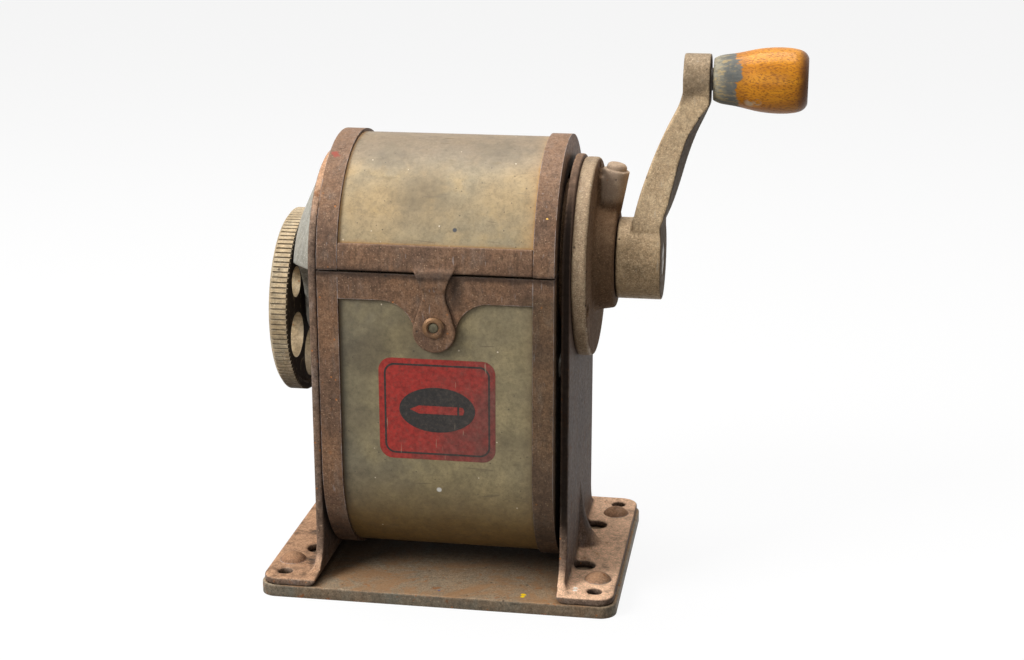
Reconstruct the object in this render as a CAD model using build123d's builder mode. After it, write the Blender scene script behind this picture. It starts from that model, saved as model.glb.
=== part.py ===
from build123d import *

import math
import os

# A hand-cranked desk pencil sharpener. All sizes in millimetres.
# Origin: middle of the base plate's underside. +X runs along the crank shaft towards the crank,
# +Z is up, and the latch side of the cover faces -Y.
# Values are grouped by assembly. What sits beside or inside another piece takes its place from it.

# ---------------------------------------------------------------- heights
axis_z = 80.9                    # crank shaft and pencil
shell_z = axis_z + 1.1           # centre of the cover's half round
shell_low_z = 32.85              # centre of the receptacle's round bottom

# ---------------------------------------------------------------- base and stands
shell_half = 28.2                # half length of the cover and the receptacle
stand_clearance = 1.2            # from the receptacle's ends to the stands
sheet = 2.0                      # stand sheet thickness
wall_inner = shell_half + stand_clearance
wall_outer = wall_inner + sheet
foot_width = 12.0
foot_outer = wall_outer + foot_width
plate_margin = 0.6
plate_width = 2 * (foot_outer + plate_margin)
plate_depth = 66.6
plate_thickness = 3.0
plate_corner = 4.0
foot_top = plate_thickness + sheet
foot_corner = 4.0
wall_half_width = 25.0
flare_radius = plate_depth / 2 - wall_half_width   # the blank widens from the wall to the foot
bend_inner = 1.4
screw_inset = 4.9
screw_x = foot_outer - screw_inset
screw_y = plate_depth / 2 - screw_inset
screw_hole_radius = 1.75
rivet_pitch = 6.8                # from screw hole to rivet
rivet_y = screw_y - rivet_pitch
rivet_shank_radius = 1.6
rivet_head_radius = 3.35
rivet_head_height = 1.8
spare_hole_inset = 9.3
spare_hole_x = foot_outer - spare_hole_inset
spare_hole_y = 13.3
spare_hole_radius = 2.8
gusset_height = 16.4
gusset_length = 7.8
gusset_half_width = 3.9
# the pressed rib's plan on its way up: shares of its height, length and half width
gusset_plan = ((-0.05, 1.0, 1.0), (0.12, 0.56, 0.92), (0.35, 0.27, 0.76), (0.68, 0.10, 0.5), (1.0, 0.02, 0.12))
pad_radius = 3.0
pad_y = 17.0
pad_z = 58.0
pad_low_z = 17.0
pad_play = 0.05

# ---------------------------------------------------------------- gear train
shaft_radius = 4.0
running_fit = 0.05
module = 1.0
ring_teeth = 28
pinion_teeth = 12
centre_offset = module * (ring_teeth - pinion_teeth) / 2
ring_pitch_radius = module * ring_teeth / 2
ring_tip_radius = ring_pitch_radius - 0.6 * module
ring_root_radius = ring_pitch_radius + 1.2 * module
pinion_pitch_radius = module * pinion_teeth / 2
pinion_tip_radius = pinion_pitch_radius + 0.75 * module
pinion_root_radius = pinion_pitch_radius - 1.1 * module
tooth_at_tip = 0.7 * module
tooth_at_root = 1.75 * module
ring_wall = 1.3                  # behind the ring's teeth
housing_wall = 2.4               # around the ring

# ---------------------------------------------------------------- gear housing on the right stand
flange_thickness = 3.65
flange_outer_x = wall_outer + flange_thickness
flange_radius = 24.3
spigot_depth = 6.8               # how far it reaches in past the stand
spigot_in_x = wall_inner - spigot_depth
ring_seat_radius = ring_root_radius + ring_wall
spigot_radius = ring_seat_radius + housing_wall
ring_seat_depth = 4.8
ring_shoulder_x = spigot_in_x + ring_seat_depth
cavity_radius = ring_tip_radius + 0.8
cavity_end_x = wall_outer + 0.6
bearing_hub_length = 4.9
bearing_hub_x = flange_outer_x + bearing_hub_length
bearing_hub_root_radius = 12.9
bearing_hub_end_radius = 12.3
bush_radius = 5.5
lug_radius = 3.25
lug_length = 10.8
lug_top = (bearing_hub_x - 0.65, axis_z + 21.8)     # x, z
lug_lean = 11.0
lug_web_half = 2.5
lock_screw_radius = 1.6
lock_cap_radius = 2.45
lock_cap_height = 1.5
flange_screw_circle = 21.5
flange_screw_angles = (83, 203, 323)
flange_screw_radius = 1.2
flange_screw_sink = 2.2
flange_screw_head_radius = 1.45

# ---------------------------------------------------------------- cutters and their carrier
pinion_x = ring_shoulder_x - 3.4
pinion_width = 3.0
tilt = 10.5                      # each cutter leans to the pencil's taper
cutter_radius = 7.4
cutter_flute = 1.3
cutter_neck_radius = 4.3
cutter_near = -3.2               # along the cutter's axis, from the pinion's middle
cutter_far = -39.0
cutter_teeth = 20
axle_radius = 2.0
axle_near = 6.6
axle_far = cutter_far - 4.8
carrier_play = 0.8
lean_cos, lean_sin = math.cos(math.radians(tilt)), math.sin(math.radians(tilt))
carrier_ring_x = pinion_x + cutter_far * lean_cos - cutter_radius * lean_sin - carrier_play
carrier_ring = 3.0
carrier_radius = 20.3
carrier_bore_radius = 7.0
carrier_plate_x = ring_shoulder_x + carrier_play
carrier_plate = 3.2
carrier_plate_radius = cavity_radius - 0.9
rib_y = 11.0
rib_width = 2.9
rib_height = 7.0

# ---------------------------------------------------------------- crank
crank_hub_in_x = bearing_hub_x + 0.25
crank_hub_length = 10.9
crank_hub_out_x = crank_hub_in_x + crank_hub_length
crank_hub_radius = 9.9
crank_throw = 43.95
knob_z = axis_z + crank_throw
crank_offset = 3.85              # from the hub's end face to the eye
eye_in_x = crank_hub_out_x + crank_offset
eye_length = 6.35
eye_out_x = eye_in_x + eye_length
eye_radius = 5.95
arm_inset = 3.4                  # from the hub's inner end to the arm
arm_root_half = 6.8
arm_eye_half = 5.0
# the arm's two edges seen from the front: shares of the way from hub to eye, along the shaft and up
arm_inner_edge = (
    (0.026, 0.230), (0.120, 0.341), (0.318, 0.507), (0.687, 0.744), (0.927, 0.876), (1.0, 0.944)
)
arm_outer_edge = (
    (1.0, 0.858), (0.908, 0.799), (0.735, 0.708), (0.531, 0.580), (0.347, 0.432), (0.214, 0.330), (0.0, 0.205)
)
arm_root_share = 0.07
grub_radius = 1.6
grub_x = crank_hub_in_x + 5.8
spindle_radius = 1.7
spindle_collar = 1.0
spindle_head = 0.25
knob_gap = 0.6
knob_start_x = eye_out_x + knob_gap
knob_length = 21.9
knob_end_x = knob_start_x + knob_length
knob_radius = 7.7
spindle_end_x = knob_end_x - 5.8
knob_bore_x = spindle_end_x + 0.3
# the knob's turned outline: shares of its length and of its largest radius
knob_outline = (
    (0.0, 0.636), (0.023, 0.675), (0.210, 0.792), (0.438, 0.929),
    (0.680, 1.0), (0.854, 0.970), (0.950, 0.880), (1.0, 0.690),
)

# ---------------------------------------------------------------- pencil side
guide_length = 5.75
guide_end_x = -(wall_outer + guide_length)
guide_bore_radius = 6.7
guide_tube_radius = 8.95
guide_tube_x = carrier_ring_x - carrier_ring - 3.5
hood_radius = 23.4
hood_end_radius = 18.6
hood_drop = 7.3
dial_pitch = 13.75               # from the dial's pivot to its holes
dial_z = axis_z - dial_pitch
dial_gap = 0.35
dial_thickness = 4.7
dial_radius = 22.95
dial_inner_x = guide_end_x - dial_gap
dial_outer_x = dial_inner_x - dial_thickness
dial_knurls = 112
knurl_depth = 0.42
dial_holes = ((90, 4.2), (148, 3.8), (206, 5.6), (270, 6.35), (333, 5.2), (32, 4.7))
pivot_boss_radius = 8.0
pivot_radius = 2.0
pivot_head_radius = 3.6
pivot_head_height = 1.7
washer_radius = 4.4
washer_sheet = 0.65
washer_x = dial_outer_x - 0.1 - washer_sheet
detent_radius = 4.6
detent_bore_radius = 1.3
detent_bore_depth = 4.6
ball_radius = 1.2

# ---------------------------------------------------------------- cover and receptacle
skin_outer = 28.6
frame_sheet = 0.8
window_sheet = 0.8
band_width = 5.0
cover_cutout_radius = spigot_radius + 1.4     # in the cover's end walls, round the housing
seam_low = shell_z - 0.25
seam_high = shell_z + 0.2
bar_height = 6.4
stud_drop = 12.25
stud_z = seam_low - stud_drop
stud_ring_radius = 2.6
stud_shank_radius = 1.7
stud_bore = 1.25
tongue_sheet = 0.85
tongue_half = 4.5                # half width of its round tab
tongue_neck_half = 2.8
keeper_half = 5.1
pivot_y = skin_outer + 2.1
hinge_pin_radius = 0.9
knuckle_radius = 1.75
hinge_half = shell_half - band_width - 1.2
hinge_leaf_half = 7.9            # the receptacle's leaf, between the cover's two
hinge_leaf_gap = 0.3

os.makedirs("parts", exist_ok=True)
skin_inner = skin_outer - frame_sheet
window_inner = skin_inner - window_sheet
crank_axis = Axis((0, 0, axis_z), (1, 0, 0))
dial_axis = Axis((0, 0, dial_z), (1, 0, 0))


def finish(builder, name):
    """Label a sub-part and write its STEP file."""
    builder.part.label = name
    export_step(builder.part, f"parts/{name}.step")


def gear_outline(teeth, root, tip, phase):
    """Corner points of a straight-flanked gear, one tooth centred on the phase angle."""
    wide, narrow = tooth_at_root / 2, tooth_at_tip / 2
    points = []
    for k in range(teeth):
        middle = math.radians(phase + 360 * k / teeth)
        for radius, half in ((root, -wide), (tip, -narrow), (tip, narrow), (root, wide)):
            angle = middle + half / radius
            points.append((radius * math.cos(angle), radius * math.sin(angle)))
    return points


# ================================================================ base plate
with BuildPart() as base_plate:
    with BuildSketch():
        RectangleRounded(plate_width, plate_depth, plate_corner)
        with GridLocations(2 * screw_x, 2 * screw_y, 2, 2):
            Circle(screw_hole_radius, mode=Mode.SUBTRACT)
        with GridLocations(2 * screw_x, 2 * rivet_y, 2, 2):
            Circle(rivet_shank_radius, mode=Mode.SUBTRACT)
    extrude(amount=plate_thickness)
    rim = base_plate.faces().sort_by(Axis.Z)[-1].outer_wire().edges()
    fillet(rim, 0.5)
finish(base_plate, "base_plate")


# ================================================================ stands
def make_gusset(side):
    """Rib pressed where a stand bends into its foot, only the half that shows outside the wall."""
    with BuildPart() as gusset:
        for up, out, wide in gusset_plan:
            with BuildSketch(Plane.XY.offset(foot_top + up * gusset_height)):
                with Locations((side * wall_outer, 0)):
                    Ellipse(out * gusset_length, wide * gusset_half_width)
        loft()
        with BuildSketch(Plane.XY):
            with Locations((side * (wall_outer - 0.3 - gusset_length), 0)):
                Rectangle(2 * gusset_length, 4 * gusset_half_width)
        extrude(amount=(foot_top + gusset_height) + 1, mode=Mode.SUBTRACT)
    return gusset


def make_stand(side, opening_radius):
    """A bent sheet: foot, round-headed wall and a pressed gusset in the bend."""
    gusset = make_gusset(side)
    with BuildPart() as stand:
        with BuildSketch(Plane.XZ.offset(-plate_depth / 2)):
            with BuildLine():
                Polyline(
                    (side * wall_inner, plate_thickness),
                    (side * foot_outer, plate_thickness),
                    (side * foot_outer, foot_top),
                    (side * wall_outer, foot_top),
                    (side * wall_outer, axis_z + wall_half_width),
                    (side * wall_inner, axis_z + wall_half_width),
                    close=True,
                )
            make_face()
            corners = vertices()
            fillet(corners.sort_by_distance((side * wall_outer, foot_top, 0))[0], bend_inner)
            heel = vertices().sort_by_distance((side * wall_inner, plate_thickness, 0))[0]
            fillet(heel, bend_inner + 1.2)
        extrude(amount=plate_depth)
        with BuildSketch(Plane.YZ.offset(-50)):
            half = plate_depth / 2
            shoulder = foot_top + flare_radius
            throat = flare_radius * math.sqrt(0.5)
            with BuildLine():
                Line((-half, 0), (-half, foot_top))
                ThreePointArc(
                    (-half, foot_top),
                    (-half + throat, shoulder - throat),
                    (-wall_half_width, shoulder),
                )
                Line((-wall_half_width, shoulder), (-wall_half_width, axis_z))
                ThreePointArc(
                    (-wall_half_width, axis_z),
                    (0, axis_z + wall_half_width),
                    (wall_half_width, axis_z),
                )
                Line((wall_half_width, axis_z), (wall_half_width, shoulder))
                ThreePointArc(
                    (wall_half_width, shoulder),
                    (half - throat, shoulder - throat),
                    (half, foot_top),
                )
                Line((half, foot_top), (half, 0))
                Line((half, 0), (-half, 0))
            make_face()
        extrude(amount=100, mode=Mode.INTERSECT)
        outer_corners = stand.edges().filter_by(Axis.Z).sort_by(Axis.X)
        fillet(outer_corners[-2:] if side > 0 else outer_corners[:2], foot_corner)
        add(gusset.part)
        with BuildSketch(Plane.YZ.offset(side * (wall_inner - 1) if side > 0 else -wall_outer - 1)):
            with Locations((0, axis_z)):
                Circle(opening_radius)
        extrude(amount=sheet + 2, mode=Mode.SUBTRACT)
        with BuildSketch(Plane.XY.offset(plate_thickness - 0.5)):
            with Locations((side * screw_x, -screw_y), (side * screw_x, screw_y)):
                Circle(screw_hole_radius)
            with Locations((side * screw_x, -rivet_y), (side * screw_x, rivet_y)):
                Circle(rivet_shank_radius)
            with Locations((side * spare_hole_x, -spare_hole_y), (side * spare_hole_x, spare_hole_y)):
                Circle(spare_hole_radius)
        extrude(amount=sheet + 1, mode=Mode.SUBTRACT)
        if side > 0:
            for angle in flange_screw_angles:
                turn = math.radians(angle)
                spot = (
                    flange_screw_circle * math.cos(turn),
                    axis_z + flange_screw_circle * math.sin(turn),
                )
                with BuildSketch(Plane.YZ.offset(wall_inner - 1)):
                    with Locations(spot):
                        Circle(flange_screw_radius)
                extrude(amount=sheet + 2, mode=Mode.SUBTRACT)
    return stand


left_stand = make_stand(-1, guide_tube_radius)
finish(left_stand, "left_stand")
right_stand = make_stand(1, spigot_radius)
finish(right_stand, "right_stand")

dome_radius = (rivet_head_radius**2 + rivet_head_height**2) / (2 * rivet_head_height)
dome_centre = foot_top + rivet_head_height - dome_radius
dome_turn = math.asin(rivet_head_radius / dome_radius) / 2
with BuildPart() as one_rivet:
    with BuildSketch(Plane.XZ):
        with BuildLine():
            Line((0, 0), (rivet_shank_radius, 0))
            Line((rivet_shank_radius, 0), (rivet_shank_radius, foot_top))
            Line((rivet_shank_radius, foot_top), (rivet_head_radius, foot_top))
            ThreePointArc(
                (rivet_head_radius, foot_top),
                (dome_radius * math.sin(dome_turn), dome_centre + dome_radius * math.cos(dome_turn)),
                (0, foot_top + rivet_head_height),
            )
            Line((0, foot_top + rivet_head_height), (0, 0))
        make_face()
    revolve(axis=Axis.Z)

with BuildPart() as foot_rivets:
    with GridLocations(2 * screw_x, 2 * rivet_y, 2, 2):
        add(one_rivet.part)
finish(foot_rivets, "foot_rivets")

# small riveted pads on the inside of both stands, which steady the receptacle
with BuildPart() as receptacle_pads:
    for start in (shell_half + pad_play, -wall_inner):
        with BuildSketch(Plane.YZ.offset(start)):
            with Locations((-pad_y, pad_z), (pad_y, pad_z), (0, pad_low_z)):
                Circle(pad_radius)
        extrude(amount=stand_clearance - pad_play)
finish(receptacle_pads, "receptacle_pads")

# ================================================================ pencil guide on the left stand
with BuildPart() as guide_housing:
    # hood: narrows from the stand's round head to the dial, and ends level with the pencil
    with BuildSketch(Plane.YZ.offset(-wall_outer)):
        with Locations((0, axis_z)):
            Circle(hood_radius)
    with BuildSketch(Plane.YZ.offset(guide_end_x)):
        with Locations((0, axis_z - hood_drop)):
            Circle(hood_end_radius)
    loft()
    with BuildSketch(Plane.YZ.offset(guide_end_x)):
        with Locations((0, axis_z + hood_radius - 0.5)):
            Rectangle(2.5 * hood_radius, 2 * hood_radius)
    extrude(amount=guide_length, mode=Mode.INTERSECT)
    # neck down to the dial's pivot
    with BuildSketch(Plane.YZ.offset(guide_end_x)):
        with BuildLine():
            boss, waist, neck = pivot_boss_radius, pivot_boss_radius + 2.4, pivot_boss_radius + 8.5
            waist_z = dial_z + 0.586 * dial_pitch
            ThreePointArc((-neck, axis_z + 0.2), (-waist, waist_z), (-boss, dial_z))
            ThreePointArc((-boss, dial_z), (0, dial_z - boss), (boss, dial_z))
            ThreePointArc((boss, dial_z), (waist, waist_z), (neck, axis_z + 0.2))
            Line((neck, axis_z + 0.2), (-neck, axis_z + 0.2))
        make_face()
    extrude(amount=guide_length)
    # tube through the stand
    with BuildSketch(Plane.YZ.offset(-wall_outer - 1)):
        with Locations((0, axis_z)):
            Circle(guide_tube_radius)
    extrude(amount=guide_tube_x + wall_outer + 1)
    with BuildSketch(Plane.YZ.offset(guide_end_x)):
        with Locations((0, axis_z)):
            Circle(guide_bore_radius)
        with Locations((0, dial_z)):
            Circle(pivot_radius)
    extrude(amount=guide_tube_x - guide_end_x, mode=Mode.SUBTRACT)
    with BuildSketch(Plane.YZ.offset(guide_end_x)):
        with Locations((0, dial_z - detent_radius)):
            Circle(detent_bore_radius)
    extrude(amount=detent_bore_depth, mode=Mode.SUBTRACT)
    mouth = guide_housing.edges().filter_by(GeomType.CIRCLE).sort_by(Axis.X)
    mouth = [edge for edge in mouth if abs(edge.radius - guide_bore_radius) < 0.01]
    chamfer(mouth[0], 0.8)
finish(guide_housing, "guide_housing")

with BuildPart() as dial_spring:
    with BuildSketch(Plane.YZ.offset(guide_end_x + 2 * ball_radius - 0.15)):
        with Locations((0, dial_z - detent_radius)):
            Circle(ball_radius)
            Circle(0.75, mode=Mode.SUBTRACT)
    extrude(amount=detent_bore_depth - 2 * ball_radius + 0.15)
finish(dial_spring, "dial_spring")

with BuildPart() as detent_ball:
    with Locations((guide_end_x + ball_radius, 0, dial_z - detent_radius)):
        Sphere(ball_radius)
finish(detent_ball, "detent_ball")

with BuildPart() as dial_pivot_screw:
    with BuildSketch(Plane.YZ.offset(washer_x - pivot_head_height)):
        with Locations((0, dial_z)):
            Circle(pivot_head_radius)
    extrude(amount=pivot_head_height)
    fillet(dial_pivot_screw.edges().group_by(Axis.X)[0], 0.5)
    with BuildSketch(Plane.YZ.offset(washer_x - pivot_head_height)):
        with Locations((0, dial_z)):
            Rectangle(2.5 * pivot_head_radius, 0.9)
    extrude(amount=0.7, mode=Mode.SUBTRACT)
    with BuildSketch(Plane.YZ.offset(washer_x - 0.1)):
        with Locations((0, dial_z)):
            Circle(pivot_radius)
    extrude(amount=-wall_outer - washer_x + 0.1)
finish(dial_pivot_screw, "dial_pivot_screw")

with BuildPart() as dial_washer:
    with BuildSketch(Plane.YZ.offset(washer_x)):
        with Locations((0, dial_z)):
            Circle(washer_radius)
            Circle(pivot_radius, mode=Mode.SUBTRACT)
    extrude(amount=washer_sheet)
finish(dial_washer, "dial_washer")

# ================================================================ selector dial
with BuildPart() as selector_dial:
    step = 360 / dial_knurls
    knurl = []
    for k in range(dial_knurls):
        for radius, part_step in (
            (dial_radius, -0.32),
            (dial_radius, 0.32),
            (dial_radius - knurl_depth, 0.45),
            (dial_radius - knurl_depth, 0.55),
        ):
            turn = math.radians((k + part_step) * step)
            knurl.append((radius * math.cos(turn), dial_z + radius * math.sin(turn)))
    with BuildSketch(Plane.YZ.offset(dial_outer_x)):
        with BuildLine():
            Polyline(*knurl, close=True)
        make_face()
    extrude(amount=dial_inner_x - dial_outer_x)
    # rim broken at both faces, inner face dished
    with BuildSketch(Plane.XZ):
        with BuildLine():
            Polyline(
                (dial_outer_x, dial_z),
                (dial_outer_x, dial_z + dial_radius - 0.9),
                (dial_outer_x + 0.8, dial_z + dial_radius + 0.1),
                (dial_inner_x - 0.3, dial_z + dial_radius + 0.1),
                (dial_inner_x, dial_z + dial_radius - 0.4),
                (dial_inner_x, dial_z + dial_radius - 1.6),
                (dial_inner_x - 0.6, dial_z + dial_radius - 2.2),
                (dial_inner_x - 0.6, dial_z),
                close=True,
            )
        make_face()
    revolve(axis=dial_axis, mode=Mode.INTERSECT)
    with BuildSketch(Plane.YZ.offset(dial_outer_x)):
        with Locations((0, dial_z)):
            Circle(pivot_radius + running_fit)
        for angle, hole_radius in dial_holes:
            turn = math.radians(angle)
            with Locations((dial_pitch * math.cos(turn), dial_z + dial_pitch * math.sin(turn))):
                Circle(hole_radius)
    extrude(amount=dial_thickness, mode=Mode.SUBTRACT)
    # shallow dimples for the ball, one for each hole
    for angle, hole_radius in dial_holes:
        turn = math.radians(180 + angle)
        with Locations((dial_inner_x, detent_radius * math.cos(turn), dial_z + detent_radius * math.sin(turn))):
            Sphere(ball_radius - 0.15, mode=Mode.SUBTRACT)
finish(selector_dial, "selector_dial")

# ================================================================ gear housing on the right stand
with BuildPart() as gear_housing:
    with BuildSketch(Plane.XZ):
        with BuildLine():
            Polyline(
                (spigot_in_x, axis_z + ring_seat_radius),
                (spigot_in_x, axis_z + spigot_radius),
                (wall_outer, axis_z + spigot_radius),
                (wall_outer, axis_z + flange_radius - 0.3),
                (wall_outer + 0.3, axis_z + flange_radius),
                (flange_outer_x - 0.5, axis_z + flange_radius),
                (flange_outer_x, axis_z + flange_radius - 0.5),
                (flange_outer_x, axis_z + bearing_hub_root_radius + 0.9),
                (flange_outer_x + 0.9, axis_z + bearing_hub_root_radius),
                (bearing_hub_x - 0.4, axis_z + bearing_hub_end_radius),
                (bearing_hub_x, axis_z + bearing_hub_end_radius - 0.4),
                (bearing_hub_x, axis_z + bush_radius),
                (cavity_end_x, axis_z + bush_radius),
                (cavity_end_x, axis_z + cavity_radius),
                (ring_shoulder_x, axis_z + cavity_radius),
                (ring_shoulder_x, axis_z + ring_seat_radius),
                close=True,
            )
        make_face()
    revolve(axis=crank_axis)
    # leaning boss for the bearing's lock screw, with a web down to the flange
    lean = math.radians(lug_lean)
    lug_dir = Vector(-math.sin(lean), 0, -math.cos(lean))
    lug_plane = Plane(origin=(lug_top[0], 0, lug_top[1]), x_dir=(0, 1, 0), z_dir=lug_dir)
    with BuildSketch(lug_plane):
        Circle(lug_radius)
    extrude(amount=lug_length)
    with BuildSketch(Plane.XZ.offset(-lug_web_half)):
        with BuildLine():
            Polyline(
                (flange_outer_x - 0.5, lug_top[1] - 10.0),
                (flange_outer_x - 0.5, lug_top[1] - 1.8),
                (lug_top[0] - 0.55, lug_top[1] - 1.8),
                (lug_top[0] - 1.75, lug_top[1] - 10.0),
                close=True,
            )
        make_face()
    extrude(amount=2 * lug_web_half)
    with BuildSketch(lug_plane):
        Circle(lock_screw_radius)
    extrude(amount=lug_length - 2.5, mode=Mode.SUBTRACT)
    for angle in flange_screw_angles:
        turn = math.radians(angle)
        spot = (flange_screw_circle * math.cos(turn), axis_z + flange_screw_circle * math.sin(turn))
        with BuildSketch(Plane.YZ.offset(wall_outer)):
            with Locations(spot):
                Circle(flange_screw_radius)
        extrude(amount=flange_thickness, mode=Mode.SUBTRACT)
        with BuildSketch(Plane.YZ.offset(flange_outer_x - flange_screw_sink)):
            with Locations(spot):
                Circle(flange_screw_head_radius + running_fit)
        extrude(amount=flange_screw_sink, mode=Mode.SUBTRACT)
finish(gear_housing, "gear_housing")

with BuildPart() as housing_screws:
    for angle in flange_screw_angles:
        turn = math.radians(angle)
        spot = (flange_screw_circle * math.cos(turn), axis_z + flange_screw_circle * math.sin(turn))
        with BuildSketch(Plane.YZ.offset(wall_inner)):
            with Locations(spot):
                Circle(flange_screw_radius)
        extrude(amount=flange_outer_x - flange_screw_sink - wall_inner)
        with BuildSketch(Plane.YZ.offset(flange_outer_x - flange_screw_sink)):
            with Locations(spot):
                Circle(flange_screw_head_radius)
        extrude(amount=0.4 * flange_screw_sink)
finish(housing_screws, "housing_screws")

with BuildPart() as lock_screw:
    with BuildSketch(lug_plane.offset(-lock_cap_height)):
        Circle(lock_cap_radius)
    extrude(amount=lock_cap_height)
    fillet(lock_screw.edges().filter_by(GeomType.CIRCLE).sort_by(Axis.Z)[-1], 0.75 * lock_cap_height)
    with BuildSketch(lug_plane):
        Circle(lock_screw_radius)
    extrude(amount=lug_length - 3.0)
finish(lock_screw, "lock_screw")

with BuildPart() as ring_gear:
    with BuildSketch(Plane.YZ.offset(spigot_in_x + 0.1)):
        with Locations((0, axis_z)):
            Circle(ring_seat_radius)
        with BuildLine():
            corners = gear_outline(ring_teeth, ring_root_radius, ring_tip_radius, 90 + 180 / ring_teeth)
            Polyline(*[(y, axis_z + z) for y, z in corners], close=True)
        make_face(mode=Mode.SUBTRACT)
    extrude(amount=ring_shoulder_x - spigot_in_x - 0.1)
finish(ring_gear, "ring_gear")

with BuildPart() as shaft_bush:
    with BuildSketch(Plane.YZ.offset(cavity_end_x)):
        with Locations((0, axis_z)):
            Circle(bush_radius)
            Circle(shaft_radius + running_fit, mode=Mode.SUBTRACT)
    extrude(amount=bearing_hub_x - cavity_end_x)
finish(shaft_bush, "shaft_bush")

# ================================================================ crank assembly
with BuildPart() as drive_shaft:
    with BuildSketch(Plane.YZ.offset(carrier_plate_x)):
        with Locations((0, axis_z)):
            Circle(shaft_radius)
    extrude(amount=crank_hub_out_x - 0.2 - carrier_plate_x)
finish(drive_shaft, "drive_shaft")

with BuildPart() as crank_arm:
    # the arm's shape seen from the front
    arm_in_x = crank_hub_in_x + arm_inset
    arm_root_z = axis_z + arm_root_share * crank_throw
    inner = [(arm_in_x + a * (eye_in_x - arm_in_x), axis_z + u * crank_throw) for a, u in arm_inner_edge]
    outer = [(crank_hub_out_x + a * (eye_out_x - crank_hub_out_x), axis_z + u * crank_throw) for a, u in arm_outer_edge]
    with BuildSketch(Plane.XZ.offset(-1.5 * crank_hub_radius)):
        with BuildLine():
            Line((arm_in_x, arm_root_z), inner[0])
            Spline(*inner)
            Line(inner[-1], (eye_in_x, knob_z))
            Line((eye_in_x, knob_z), (eye_out_x, knob_z))
            Line((eye_out_x, knob_z), outer[0])
            Spline(*outer)
            Line(outer[-1], (crank_hub_out_x, arm_root_z))
            Line((crank_hub_out_x, arm_root_z), (arm_in_x, arm_root_z))
        make_face()
    extrude(amount=3 * crank_hub_radius)
    # and seen along the shaft: tapering from the hub to the eye
    with BuildSketch(Plane.YZ.offset(crank_hub_in_x)):
        taper = arm_root_half - arm_eye_half
        side_edge = [
            (arm_root_half, arm_root_z),
            (arm_eye_half + 0.5 * taper, axis_z + 0.3 * crank_throw),
            (arm_eye_half + 0.1 * taper, axis_z + 0.62 * crank_throw),
            (arm_eye_half, knob_z),
        ]
        with BuildLine():
            Polyline(*[(-y, z) for y, z in side_edge], *reversed(side_edge), close=True)
        make_face()
    extrude(amount=eye_out_x - crank_hub_in_x, mode=Mode.INTERSECT)
    with BuildSketch(Plane.YZ.offset(crank_hub_in_x)):
        with Locations((0, axis_z)):
            Circle(crank_hub_radius)
    extrude(amount=crank_hub_out_x - crank_hub_in_x)
    with BuildSketch(Plane.YZ.offset(eye_in_x)):
        with Locations((0, knob_z)):
            Circle(eye_radius)
    extrude(amount=eye_out_x - eye_in_x)
    with BuildSketch(Plane.YZ.offset(crank_hub_in_x)):
        with Locations((0, axis_z)):
            Circle(shaft_radius)
    extrude(amount=crank_hub_length, mode=Mode.SUBTRACT)
    with BuildSketch(Plane.YZ.offset(eye_in_x)):
        with Locations((0, knob_z)):
            Circle(spindle_radius)
    extrude(amount=eye_length, mode=Mode.SUBTRACT)
    with BuildSketch(Plane.XY.offset(axis_z - crank_hub_radius)):
        with Locations((grub_x, 0)):
            Circle(grub_radius)
    extrude(amount=crank_hub_radius, mode=Mode.SUBTRACT)
finish(crank_arm, "crank_arm")

with BuildPart() as crank_screw:
    with BuildSketch(Plane.XY.offset(axis_z - crank_hub_radius + 0.8)):
        with Locations((grub_x, 0)):
            Circle(grub_radius)
            Rectangle(2.5 * grub_radius, 0.7, mode=Mode.SUBTRACT)
    extrude(amount=0.8)
    with BuildSketch(Plane.XY.offset(axis_z - crank_hub_radius + 1.6)):
        with Locations((grub_x, 0)):
            Circle(grub_radius)
    extrude(amount=crank_hub_radius - 1.6 - shaft_radius - 0.02)
finish(crank_screw, "crank_screw")

with BuildPart() as knob_spindle:
    with BuildSketch(Plane.XZ):
        with BuildLine():
            Polyline(
                (eye_in_x - spindle_head, knob_z),
                (eye_in_x - spindle_head, knob_z + spindle_radius),
                (eye_in_x, knob_z + spindle_radius + spindle_collar),
                (eye_in_x, knob_z + spindle_radius),
                (eye_out_x, knob_z + spindle_radius),
                (eye_out_x, knob_z + spindle_radius + spindle_collar),
                (knob_start_x - 0.25, knob_z + spindle_radius + spindle_collar),
                (knob_start_x - 0.25, knob_z + spindle_radius),
                (spindle_end_x, knob_z + spindle_radius),
                (spindle_end_x, knob_z),
                close=True,
            )
        make_face()
    revolve(axis=Axis((0, 0, knob_z), (1, 0, 0)))
finish(knob_spindle, "knob_spindle")

with BuildPart() as wooden_knob:
    turned = [(knob_start_x + a * knob_length, knob_z + r * knob_radius) for a, r in knob_outline]
    bore_z = knob_z + spindle_radius + running_fit
    with BuildSketch(Plane.XZ):
        with BuildLine():
            Line((knob_start_x, bore_z), turned[0])
            Spline(*turned)
            Polyline(turned[-1], (knob_end_x, knob_z), (knob_bore_x, knob_z), (knob_bore_x, bore_z), (knob_start_x, bore_z))
        make_face()
    revolve(axis=Axis((0, 0, knob_z), (1, 0, 0)))
finish(wooden_knob, "wooden_knob")


def cutter_plane(side):
    """Plane square to one cutter's axis, at the middle of its pinion; side is 1 above, -1 below."""
    return Plane(
        origin=(pinion_x, 0, axis_z + side * centre_offset),
        x_dir=(0, 1, 0),
        z_dir=(lean_cos, 0, -side * lean_sin),
    )


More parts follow.
